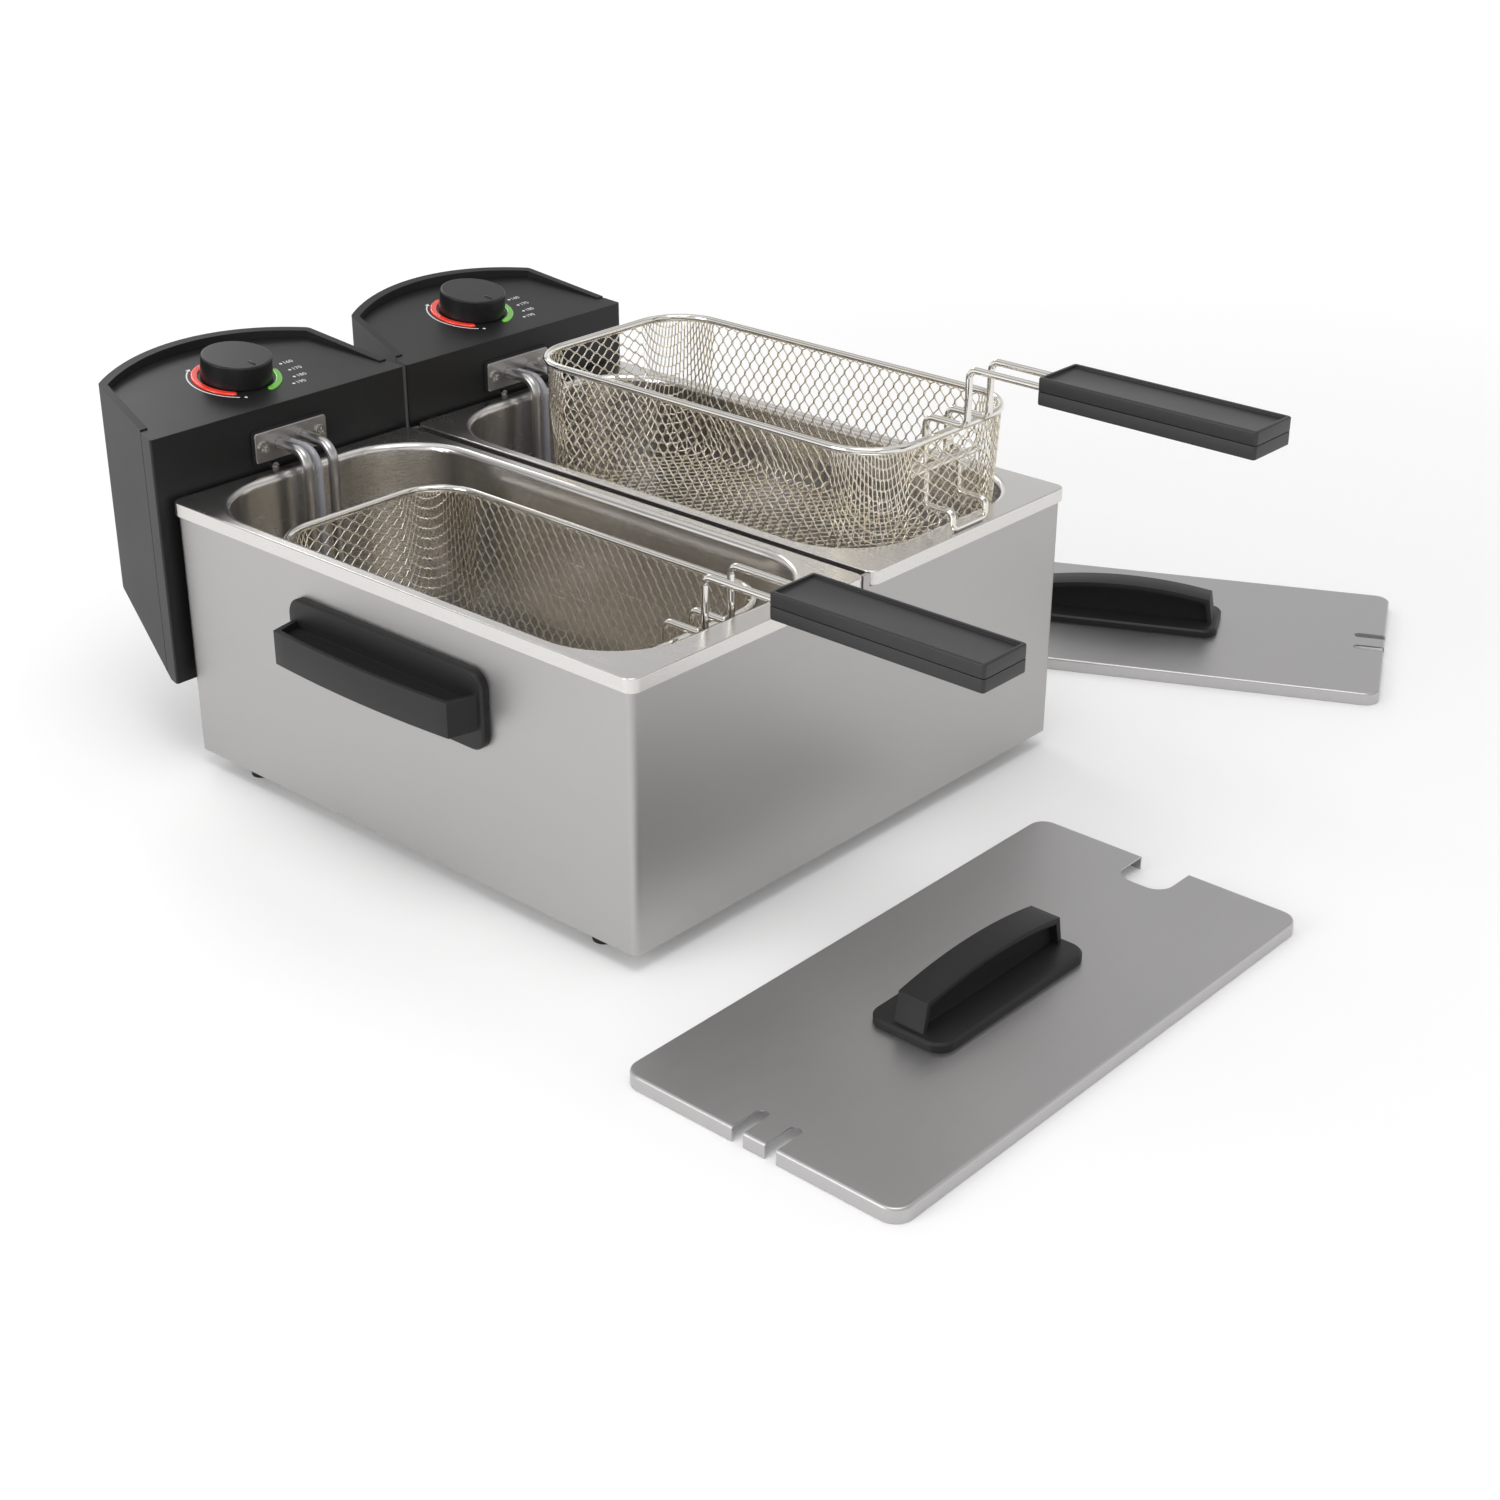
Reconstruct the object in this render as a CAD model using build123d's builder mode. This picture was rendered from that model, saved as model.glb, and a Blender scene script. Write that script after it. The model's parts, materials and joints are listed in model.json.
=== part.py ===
"""Twin-tank deep fryer: steel housing, two lift-out tanks, two control units, two baskets, two lids.

Millimetres, +Z up. The origin is on the table, under the middle of the housing.
-Y is the front, where the basket grips point, and +Y is the rear, where the control units hang.
"""
import os
from math import atan2, cos, degrees, radians, sin, tan

from build123d import *

os.makedirs("parts", exist_ok=True)

# ---------------------------------------------------------------- driving dimensions
housing_width = 360.0
housing_depth = 362.0
housing_height = 156.0  # sheet-metal wrap, without the feet and the tank flange
foot_clearance = 10.0  # table to the housing's lower edge
sheet = 1.0
housing_corner = 4.0
bottom_lip = 6.0
base_gap = 0.2

foot_top_radius = 7.5
foot_taper = 5.0  # degrees
foot_inset_x = 15.0
foot_inset_y = 38.0
foot_hole_radius = 2.2
foot_recess_radius = 4.2
foot_recess_depth = 5.0
foot_screw_head_radius = 3.8
foot_screw_head_height = 2.4
foot_screw_radius = 1.95
foot_screw_length = 12.0
vent_length = 40.0
vent_width = 5.0
vents_per_row = 6
vent_spacing = 36.0

tank_sheet = 1.0
flange_overhang = 2.0  # tank flange past the housing wall
flange_lip = 8.0
flange_corner = 6.0
tank_gap = 6.0  # between the two flanges
side_flange = 9.0
front_flange = 18.0
rear_flange = 12.0
tank_corner = 48.0
tank_entry = 4.0  # rounding from the flange down into the tank
tank_depth = 125.0
tank_floor_round = 12.0
flange_edge = 0.8
rest_clearance = 0.2
lip_slit = 0.3  # room round each flange lip where it crosses the front and rear walls

rail_drop = 14.0
rail_leg_gap = 1.0

side_grip_height = 106.0  # above the housing's lower edge
side_grip_plate = (156.0, 46.0)
side_grip_bar = (148.0, 140.0, 20.0, 17.0, 20.0)  # foot length, top length, width, end and middle height
lid_grip_plate = (124.0, 48.0)
lid_grip_bar = (116.0, 110.0, 18.0, 16.0, 21.0)
grip_plate_thickness = 5.0
grip_plate_corner = 10.0
grip_wall = 3.0
grip_recess = 4.5
grip_screw_spacing = 80.0
grip_screw_radius = 2.0
grip_screw_head_radius = 3.6
grip_screw_head_height = 2.0
grip_screw_depth = 8.0  # blind hole past the grip's plate
grip_edge = 1.2
screw_fit = 0.05

control_width = 188.0
control_gap = 2.0
control_stand_off = 3.0  # tank flange to the control unit's front face
control_over_rim = 37.0  # front top edge above the tank flange
control_height = 151.0
control_side_depth = 70.0
control_side_taper = 16.0
control_rear_bulge = 24.0
control_floor_flat = 8.0
control_floor_rise = 39.0  # rise of the sloping underside over the side depth
control_corner = 5.0
control_front_edge = 1.2
cover_wall = 3.0
seam_depth = 12.5
seam_gap = 0.5
rim_width = 5.0
rim_band = 8.0
rim_slope = 11.5  # degrees
panel_slope = 8.0  # degrees
panel_fit = 0.3

knob_radius = 21.5
knob_height = 14.0
knob_lift = 0.6
knob_back = 43.0  # knob centre behind the front face
knob_stem_radius = 3.0
knob_stem_length = 10.0  # below the panel
knob_taper = 2.0  # degrees
knob_edge = 1.2
stem_clearance = 0.1
thermostat_radius = 14.0
thermostat_height = 16.0
thermostat_tabs = (34.0, 14.0, 6.0)  # length, width, thickness
thermostat_bore = 12.0

light_gap = 1.5  # knob to the light ring
light_width = 4.0
light_rise = 1.0
light_depth = 4.0
light_edge = 0.8
red_arc = (108.0, 228.0)  # degrees, counter-clockwise from +X on the panel
green_arc = (286.0, 348.0)
light_fit = 0.1

plate_width = 53.0
plate_height = 18.2
plate_thickness = 1.5
gasket_thickness = 1.0
gasket_border = 1.5
gasket_corner = 3.0
plate_corner = 2.0
plate_edge = 0.3
plate_hole_radius = 1.7
plate_screw_height = 1.4
plate_screw_shank = 1.4
plate_screw_length = 10.0
pilot_screw_height = 2.2
pilot_screw_length = 8.0
pilot_hole_radius = 1.5
plate_over_rim = 14.0  # plate centre above the tank flange
plate_screw_inset = 5.5
plate_screw_radius = 3.6
pilot_screw_x = -13.0
pilot_gap = 0.4  # pilot screw's head to the gasket
pilot_screw_radius = 2.5

tube_radius = 3.25
tube_spacing = 19.0
tube_forward = 28.0  # tube drop in front of the control unit's face
tube_bend = 12.0
element_bend = 10.0
tube_floor_gap = 5.0
element_side_gap = 28.5  # tank wall to the element's outer run
element_inner_x = 18.0
element_front_gap = 32.0
element_rear_gap = 26.0
tube_inside = 14.0
sleeve_radius = 2.6
sleeve_drop = 2.0
sleeve_back = 2.0  # behind the tubes
sleeve_end_gap = 22.0  # sleeve's end above the flat part of the tubes
hole_fit = 0.15

basket_rear_gap = 39.0  # tank wall to the basket's rear rim, room for the element's tubes
basket_side_gap = 11.5
basket_height = 88.0
basket_corner = 32.0
basket_front_gap = 22.0  # tank wall to the basket's front rim
basket_rim_drop = 17.0  # below the tank flange when lowered
basket_taper = 2.6  # degrees
mesh_wall = 1.2
basket_floor_round = 10.0
rim_wire_radius = 2.2
raised_rise = 70.0  # lowered place to the draining place
raised_clearance = 0.5  # draining basket to the tank's front wall

frame_wire_radius = 1.8
hook_half_width = 15.0
hook_bar_inset = 4.0  # hook bar behind the flange's front edge when draining
hook_step = 10.0
cross_bar = 64.0
cross_bar_radius = 2.25
hook_bend = 3.5
eye_x = 18.0
eye_thickness = 2.0
eye_radius = 4.6
pivot_inset = 13.0  # pivot behind the front rim
pivot_drop = 20.0  # pivot below the rim
pivot_clearance = 0.08

wire_radius = 2.0
wire_spacing = 20.0
wire_bend = 5.0
pin_reach = 12.0
wire_over_rim = 8.0
leg_forward = 15.0  # legs in front of the basket's rim
grip_wire_rise = 40.5  # grip wires above the rim
grip_start = 64.0  # grip in front of the basket's rim
grip_length = 131.0
grip_width = 34.0
grip_height = 15.0
grip_seam = 0.3
grip_tray_depth = 1.6
grip_tray_rim = 2.2
grip_corner = 2.0
grip_far_edge = 1.0
wire_groove_fit = 0.02
wire_groove_run = 5.0  # groove past the grip's end
wire_in_grip = 28.0

lid_end_gap = 12.0  # tank flange's edge to the lid's edge, when the lid is on
lid_side_gap = 5.5
lid_sheet = 1.0
lid_lip = 8.0
lid_corner = 10.0
lid_edge = 1.5
lid_notch_width = 31.0
lid_notch_depth = 28.0
lid_slot_width = 7.0
lid_slot_length = 20.0
front_lid_place = (-84.0, 146.0, -90.0)  # x, distance in front of the housing, turn
back_lid_place = (185.0, -117.0, 26.0)  # distance beside the housing, y, turn

guide_width = 68.0
guide_height = 90.0
guide_sheet = 1.5
guide_rise = 7.0  # guide's lower end above the control unit's
guide_fit = 0.5
rib_width = 3.0

cover_screw_x = 72.0
cover_screw_rises = (62.0, 109.0)  # above the control unit's lower end
cover_screw_head = 3.0
cover_screw_shank = 1.5
cover_screw_height = 1.6
cover_screw_length = 14.0
boss_radius = 4.0

button_radius = 4.0
button_collar = 5.2
button_proud = 2.0
button_fit = 0.2
button_collar_height = 2.0
button_x = -34.0
gland_radius = 8.0
gland_flange = 11.0
gland_bore = 3.6
gland_length = 18.0
gland_flange_height = 2.5
gland_inside = 7.0
gland_wall = 2.0
gland_taper = 4.0
underside_parts_back = 44.0  # gland and button behind the front face
switch_size = (20.0, 12.0, 14.0)
switch_x = 45.0
switch_rise = 82.0  # above the control unit's lower end
switch_tab = (1.0, 4.0, 6.0)
switch_tab_spacing = 6.0

# ---------------------------------------------------------------- places worked out from them
half_width = housing_width / 2
half_depth = housing_depth / 2
housing_top = foot_clearance + housing_height
rim_z = housing_top + tank_sheet
flange_width = (housing_width + 2 * flange_overhang - tank_gap) / 2
flange_length = housing_depth + 2 * flange_overhang
opening_width = flange_width - 2 * side_flange
opening_length = flange_length - front_flange - rear_flange
opening_y = (front_flange - rear_flange) / 2
tank_x = (tank_gap + flange_width) / 2
tank_floor_z = rim_z - tank_depth
tank_front_wall = opening_y - opening_length / 2
flange_front = -flange_length / 2

control_x = (control_gap + control_width) / 2
control_front_top = rim_z + control_over_rim
control_bottom = control_front_top - control_height
guide_bottom = control_bottom + guide_rise
cover_screw_z = [control_bottom + rise for rise in cover_screw_rises]
switch_z = control_bottom + switch_rise
light_inner = knob_radius + light_gap
light_outer = light_inner + light_width
plate_z = rim_z + plate_over_rim
plate_screw_x = plate_width / 2 - plate_screw_inset
pilot_screw_drop = plate_height / 2 + gasket_border + pilot_screw_radius + pilot_gap
control_front = flange_length / 2 + control_stand_off
control_rear_width = control_width - 2 * control_side_taper
control_depth = control_side_depth + control_rear_bulge
underside_angle = degrees(atan2(control_floor_rise, control_side_depth - control_floor_flat))

tube_y = control_front - tube_forward
element_z = tank_floor_z + tube_floor_gap + tube_radius
element_outer_x = opening_width / 2 - element_side_gap

basket_rim_z = rim_z - basket_rim_drop
basket_front = tank_front_wall + basket_front_gap
basket_length = opening_length - basket_front_gap - basket_rear_gap
basket_width = opening_width - 2 * basket_side_gap
throat_drop = raised_rise - basket_rim_drop + tank_entry  # draining basket's rim above the tank's wall
raised_forward = basket_front_gap + throat_drop * tan(radians(basket_taper)) - raised_clearance
raised_shift = (0.0, -raised_forward, raised_rise)
basket_y = basket_front + basket_length / 2
pivot_y = basket_front + pivot_inset
pivot_z = basket_rim_z - pivot_drop
hook_bar_y = flange_front + hook_bar_inset - raised_shift[1]
hook_bar_z = rim_z + frame_wire_radius - raised_shift[2]
grip_axis_z = basket_rim_z + grip_wire_rise

lid_length = flange_length - 2 * lid_end_gap
lid_width = flange_width - 2 * lid_side_gap
lid_places = {
    "front": (front_lid_place[0], -half_depth - front_lid_place[1], front_lid_place[2]),
    "back": (half_width + back_lid_place[0], back_lid_place[1], back_lid_place[2]),
}

sides = {"left": -1, "right": 1}
basket_shifts = {"left": (0.0, 0.0, 0.0), "right": raised_shift}


def level(x, y, z):
    """A horizontal plane with its origin at the point given."""
    return Plane(origin=(x, y, z))


def facing_front(x, y, z):
    """An upright plane whose normal points to the front."""
    return Plane(origin=(x, y, z), x_dir=(1, 0, 0), z_dir=(0, -1, 0))


def sloping(x, y, z, angle):
    """A plane that rises to the rear by the angle in degrees."""
    a = radians(angle)
    return Plane(origin=(x, y, z), x_dir=(1, 0, 0), z_dir=(0, -sin(a), cos(a)))


def well(x, y, top, size, corner, depth, floor_round, taper=0.0):
    """A solid the shape of a tank or basket: rounded in plan and round its floor, hanging from the top."""
    with BuildPart() as body:
        with BuildSketch(level(x, y, top)):
            RectangleRounded(*size, corner)
        extrude(amount=-depth, taper=taper)
        fillet(body.faces().sort_by(Axis.Z)[0].edges(), radius=floor_round)
    return body.part


def swept_round(points, bend, radius):
    """A round bar along straight runs joined by arcs."""
    with BuildPart() as bar:
        with BuildLine() as route:
            FilletPolyline(*points, radius=bend)
        with BuildSketch(Plane(origin=route.line @ 0, z_dir=route.line % 0)):
            Circle(radius)
        sweep(path=route.line)
    return bar.part


# ---------------------------------------------------------------- housing
foot_points = [
    (sx * (half_width - foot_inset_x), sy * (half_depth - foot_inset_y))
    for sx in (-1, 1)
    for sy in (-1, 1)
]
top_lip = side_flange - flange_overhang - tank_entry - rest_clearance
side_grip_z = foot_clearance + side_grip_height

with BuildPart() as housing_shell:
    with BuildSketch(level(0, 0, foot_clearance)):
        RectangleRounded(housing_width, housing_depth, housing_corner)
    extrude(amount=housing_height)
    with BuildSketch(level(0, 0, foot_clearance + sheet)):
        RectangleRounded(housing_width - 2 * sheet, housing_depth - 2 * sheet, housing_corner - sheet)
    extrude(amount=housing_height - 2 * sheet, mode=Mode.SUBTRACT)
    with BuildSketch(level(0, 0, foot_clearance)):
        Rectangle(housing_width - 2 * bottom_lip, housing_depth - 2 * bottom_lip)
    extrude(amount=sheet, mode=Mode.SUBTRACT)
    with BuildSketch(level(0, 0, housing_top)):
        Rectangle(housing_width - 2 * top_lip, housing_depth - 2 * top_lip)
    extrude(amount=-sheet, mode=Mode.SUBTRACT)
    with BuildSketch(level(0, 0, housing_top)):
        with GridLocations(tank_gap + flange_corner, 1, 2, 1):
            Rectangle(flange_corner + 2 * lip_slit, housing_depth)
    extrude(amount=tank_sheet - flange_lip - lip_slit, mode=Mode.SUBTRACT)
    with BuildSketch(Plane(origin=(-half_width, 0, side_grip_z), x_dir=(0, 1, 0), z_dir=(1, 0, 0))):
        with GridLocations(grip_screw_spacing, 1, 2, 1):
            Circle(grip_screw_radius)
    extrude(amount=housing_width, mode=Mode.SUBTRACT)
housing_shell.part.label = "housing_shell"
export_step(housing_shell.part, "parts/housing_shell.step")

base_bottom = foot_clearance + sheet
with BuildPart() as base_plate:
    with BuildSketch(level(0, 0, base_bottom)):
        RectangleRounded(
            housing_width - 2 * (sheet + base_gap),
            housing_depth - 2 * (sheet + base_gap),
            housing_corner - sheet,
        )
        with GridLocations(vent_spacing, 0.4 * housing_depth, vents_per_row, 2):
            SlotOverall(vent_length, vent_width, rotation=90, mode=Mode.SUBTRACT)
        with Locations(*foot_points):
            Circle(foot_screw_radius + hole_fit, mode=Mode.SUBTRACT)
    extrude(amount=sheet)
base_plate.part.label = "base_plate"
export_step(base_plate.part, "parts/base_plate.step")

with BuildPart() as feet:
    with BuildSketch(level(0, 0, base_bottom)):
        with Locations(*foot_points):
            Circle(foot_top_radius)
    extrude(amount=-base_bottom, taper=foot_taper)
    with BuildSketch(level(0, 0, 0)):
        with Locations(*foot_points):
            Circle(foot_recess_radius)
    extrude(amount=foot_recess_depth, mode=Mode.SUBTRACT)
    with BuildSketch(level(0, 0, 0)):
        with Locations(*foot_points):
            Circle(foot_hole_radius)
    extrude(amount=base_bottom, mode=Mode.SUBTRACT)
feet.part.label = "feet"
export_step(feet.part, "parts/feet.step")

with BuildPart() as foot_screws:
    with BuildSketch(level(0, 0, foot_recess_depth)):
        with Locations(*foot_points):
            Circle(foot_screw_head_radius)
    extrude(amount=-foot_screw_head_height)
    with BuildSketch(level(0, 0, foot_recess_depth)):
        with Locations(*foot_points):
            Circle(foot_screw_radius)
    extrude(amount=foot_screw_length)
foot_screws.part.label = "foot_screws"
export_step(foot_screws.part, "parts/foot_screws.step")

# The rail bridges the housing between the tanks and carries the flanges' inner sides.
rail_leg = tank_gap / 2 + tank_sheet + rail_leg_gap
rail_edge = tank_gap / 2 + side_flange - tank_entry - rest_clearance
rail_length = housing_depth - 2 * sheet
with BuildPart() as centre_rail:
    with BuildSketch(facing_front(0, half_depth - top_lip - rest_clearance, 0)):
        with BuildLine():
            half_profile = Polyline(
                (0, housing_top - rail_drop),
                (rail_leg + sheet, housing_top - rail_drop),
                (rail_leg + sheet, housing_top - sheet),
                (rail_edge, housing_top - sheet),
                (rail_edge, housing_top),
                (rail_leg, housing_top),
                (rail_leg, housing_top - rail_drop + sheet),
                (0, housing_top - rail_drop + sheet),
            )
            mirror(half_profile, about=Plane.YZ)
        make_face()
    extrude(amount=housing_depth - 2 * (top_lip + rest_clearance))
    with BuildSketch(level(0, 0, housing_top - rail_drop)):
        Rectangle(2 * (rail_leg + sheet), rail_length)
    extrude(amount=sheet)
centre_rail.part.label = "centre_rail"
export_step(centre_rail.part, "parts/centre_rail.step")

# One guide per control unit is riveted to the rear wall; its bent edges keep the unit's ribs in line.
with BuildPart() as rear_guides:
    for sign in sides.values():
        x = sign * control_x
        with BuildSketch(level(x, half_depth, guide_bottom)):
            Rectangle(guide_width, guide_sheet, align=(Align.CENTER, Align.MIN))
            for edge in (-1, 1):
                with Locations((edge * (guide_width - guide_sheet) / 2, 0)):
                    reach = control_front - half_depth - guide_fit
                    Rectangle(guide_sheet, reach, align=(Align.CENTER, Align.MIN))
        extrude(amount=guide_height)
rear_guides.part.label = "rear_guides"
export_step(rear_guides.part, "parts/rear_guides.step")


# ---------------------------------------------------------------- bowed grips on the housing and lids
def bar_profile(bar, inset, low):
    """Side view of a grip bar: leaning ends and a bowed top, drawn inward by inset."""
    foot_length, top_length, _, end_height, middle_height = bar
    foot_half = foot_length / 2 - inset
    top_half = top_length / 2 - inset
    end_z = grip_plate_thickness + end_height - inset
    middle_z = grip_plate_thickness + middle_height - inset
    with BuildSketch() as profile:
        with BuildLine():
            Polyline((-top_half, end_z), (-foot_half, low), (foot_half, low), (top_half, end_z))
            ThreePointArc((top_half, end_z), (0, middle_z), (-top_half, end_z))
        make_face()
    return profile.sketch


def bowed_grip(base, plate, bar):
    """A grip on the base plane: rounded plate, bowed bar along its X, a shallow recess on both sides."""
    width = bar[2]
    across = Plane(origin=base.origin, x_dir=base.x_dir, z_dir=-base.y_dir)
    with BuildPart() as grip:
        with BuildSketch(base):
            RectangleRounded(*plate, grip_plate_corner)
        extrude(amount=grip_plate_thickness)
        chamfer(outer_edges(grip, base), length=grip_edge)
        with BuildSketch(across.offset(-width / 2)):
            add(bar_profile(bar, 0, grip_plate_thickness - 1))
        extrude(amount=width)
        for side in (-1, 1):
            with BuildSketch(across.offset(side * width / 2)):
                add(bar_profile(bar, grip_wall, grip_plate_thickness))
            extrude(amount=-side * grip_recess, mode=Mode.SUBTRACT)
        with BuildSketch(base):
            with GridLocations(grip_screw_spacing, 1, 2, 1):
                Circle(grip_screw_radius)
        extrude(amount=grip_plate_thickness + grip_screw_depth, mode=Mode.SUBTRACT)
    return grip.part


def outer_edges(builder, base):
    """The edges round the far face of a plate standing on the base plane."""
    face = builder.faces().sort_by(Axis(base.origin, base.z_dir))[-1]
    return face.edges()


def pan_screws(base, points, head_radius, head_height, shank_radius, shank_length):
    """Pan-head screws whose heads stand on the base plane and whose shanks go below it."""
    with BuildPart() as screws:
        with BuildSketch(base):
            with Locations(*points):
                Circle(head_radius)
        extrude(amount=head_height)
        crowns = screws.faces().group_by(Axis(base.origin, base.z_dir))[-1]
        fillet(crowns.edges(), radius=0.45 * head_height)
        with BuildSketch(base):
            with Locations(*points):
                Circle(shank_radius)
        extrude(amount=-shank_length)
    return screws.part


def grip_screws(base, length):
    """The two screws that hold a grip, their heads standing on the base plane."""
    points = [(-grip_screw_spacing / 2, 0), (grip_screw_spacing / 2, 0)]
    radius = grip_screw_radius - screw_fit
    return pan_screws(base, points, grip_screw_head_radius, grip_screw_head_height, radius, length)


side_planes = {
    side: Plane(origin=(sign * half_width, 0, side_grip_z), x_dir=(0, sign, 0), z_dir=(sign, 0, 0))
    for side, sign in sides.items()
}
grip_screw_length = grip_plate_thickness + grip_screw_depth - 2
for side, wall_plane in side_planes.items():
    with BuildPart() as side_handle:
        add(bowed_grip(wall_plane, side_grip_plate, side_grip_bar))
    side_handle.part.label = f"side_handle_{side}"
    export_step(side_handle.part, f"parts/side_handle_{side}.step")

with BuildPart() as side_handle_screws:
    for wall_plane in side_planes.values():
        start = wall_plane.offset(-sheet).origin
        inside = Plane(origin=start, x_dir=wall_plane.x_dir, z_dir=-wall_plane.z_dir)
        add(grip_screws(inside, sheet + grip_screw_length))
side_handle_screws.part.label = "side_handle_screws"
export_step(side_handle_screws.part, "parts/side_handle_screws.step")

# ---------------------------------------------------------------- tanks
for side, sign in sides.items():
    x = sign * tank_x
    with BuildPart() as tank:
        with BuildSketch(level(x, 0, rim_z)):
            RectangleRounded(flange_width, flange_length, flange_corner)
        extrude(amount=-flange_lip)
        fillet(tank.faces().sort_by(Axis.Z)[-1].edges(), radius=flange_edge)
        with BuildSketch(level(x, 0, rim_z - tank_sheet)):
            under = (flange_width - 2 * tank_sheet, flange_length - 2 * tank_sheet)
            RectangleRounded(*under, flange_corner - tank_sheet)
        extrude(amount=-flange_lip, mode=Mode.SUBTRACT)
        bowl = (opening_width + 2 * tank_sheet, opening_length + 2 * tank_sheet)
        under_z = rim_z - tank_sheet
        bowl_corner = tank_corner + tank_sheet
        add(well(x, opening_y, under_z, bowl, bowl_corner, tank_depth, tank_floor_round))
        under_flange = tank.edges().filter_by_position(Axis.Z, under_z - 0.01, under_z + 0.01)
        bowl_edges = under_flange.filter_by(
            lambda e: abs((e @ 0.5).X - x) < bowl[0] / 2 + 0.1
            and abs((e @ 0.5).Y - opening_y) < bowl[1] / 2 + 0.1
        )
        fillet(bowl_edges, radius=tank_entry - tank_sheet)
        mouth_size = (opening_width, opening_length)
        floor_round = tank_floor_round - tank_sheet
        add(well(x, opening_y, rim_z, mouth_size, tank_corner, tank_depth, floor_round), mode=Mode.SUBTRACT)
        mouth = tank.faces().sort_by(Axis.Z)[-1].inner_wires()[0].edges()
        fillet(mouth, radius=tank_entry)
    tank.part.label = f"tank_{side}"
    export_step(tank.part, f"parts/tank_{side}.step")


# ---------------------------------------------------------------- control units
def control_plan(inset):
    """Plan of a control unit: straight front, tapering sides, bulging rear, drawn inward by inset."""
    front_half = control_width / 2
    rear_half = control_rear_width / 2
    with BuildSketch() as plan:
        with BuildLine():
            Line((-front_half, 0), (front_half, 0))
            Line((front_half, 0), (rear_half, control_side_depth))
            rear_left = (-rear_half, control_side_depth)
            ThreePointArc((rear_half, control_side_depth), (0, control_depth), rear_left)
            Line(rear_left, (-front_half, 0))
        make_face()
        if inset:
            offset(amount=-inset, kind=Kind.INTERSECTION, mode=Mode.REPLACE)
    return plan.sketch


def control_block(x, inset, top_slope, drop):
    """A solid of the control unit's shape, drawn inward by inset, its sloping top lowered by drop."""
    with BuildPart() as block:
        with BuildSketch(level(x, control_front, control_bottom + inset)):
            add(control_plan(inset))
        extrude(amount=2 * (control_front_top - control_bottom))
        split(bisect_by=sloping(x, control_front, control_front_top - drop, top_slope), keep=Keep.BOTTOM)
        split(bisect_by=underside(x).offset(-inset), keep=Keep.BOTTOM)
        if not inset:
            upright = block.edges().filter_by(Axis.Z)
            fillet(upright.group_by(Axis.Y)[-1], radius=control_corner)
            fillet(block.edges().filter_by(Axis.Z).group_by(Axis.Y)[0], radius=control_front_edge)
    return block.part


def top_panel(x):
    """The sloping panel inside the rear cover's rim, one wall thick."""
    with BuildPart() as panel:
        with BuildSketch(level(x, control_front, control_bottom)):
            add(control_plan(rim_width + panel_fit))
        extrude(amount=2 * (control_front_top - control_bottom))
        surface = sloping(x, control_front, control_front_top, panel_slope)
        split(bisect_by=surface, keep=Keep.BOTTOM)
        split(bisect_by=surface.offset(-cover_wall), keep=Keep.TOP)
    return panel.part


def underside(x):
    """The sloping plane under a control unit, its normal pointing down and back."""
    a = radians(underside_angle)
    start = (x, control_front + control_floor_flat, control_bottom)
    return Plane(origin=start, x_dir=(-1, 0, 0), z_dir=(0, sin(a), -cos(a)))


def panel_plane(x, lift=0.0):
    """The top panel's surface at the knob's centre."""
    surface = sloping(x, control_front, control_front_top, panel_slope)
    centre = surface.from_local_coords(Vector(0, knob_back, lift))
    return Plane(origin=centre, x_dir=(1, 0, 0), z_dir=surface.z_dir)


def ring_sector(start, end, inner, outer):
    """A flat arc-shaped bar between two angles, with round ends."""
    with BuildSketch() as sector:
        with BuildLine(mode=Mode.PRIVATE) as curve:
            CenterArc((0, 0), (inner + outer) / 2, start, end - start)
        SlotArc(curve.edges()[0], outer - inner)
    return sector.sketch


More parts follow.
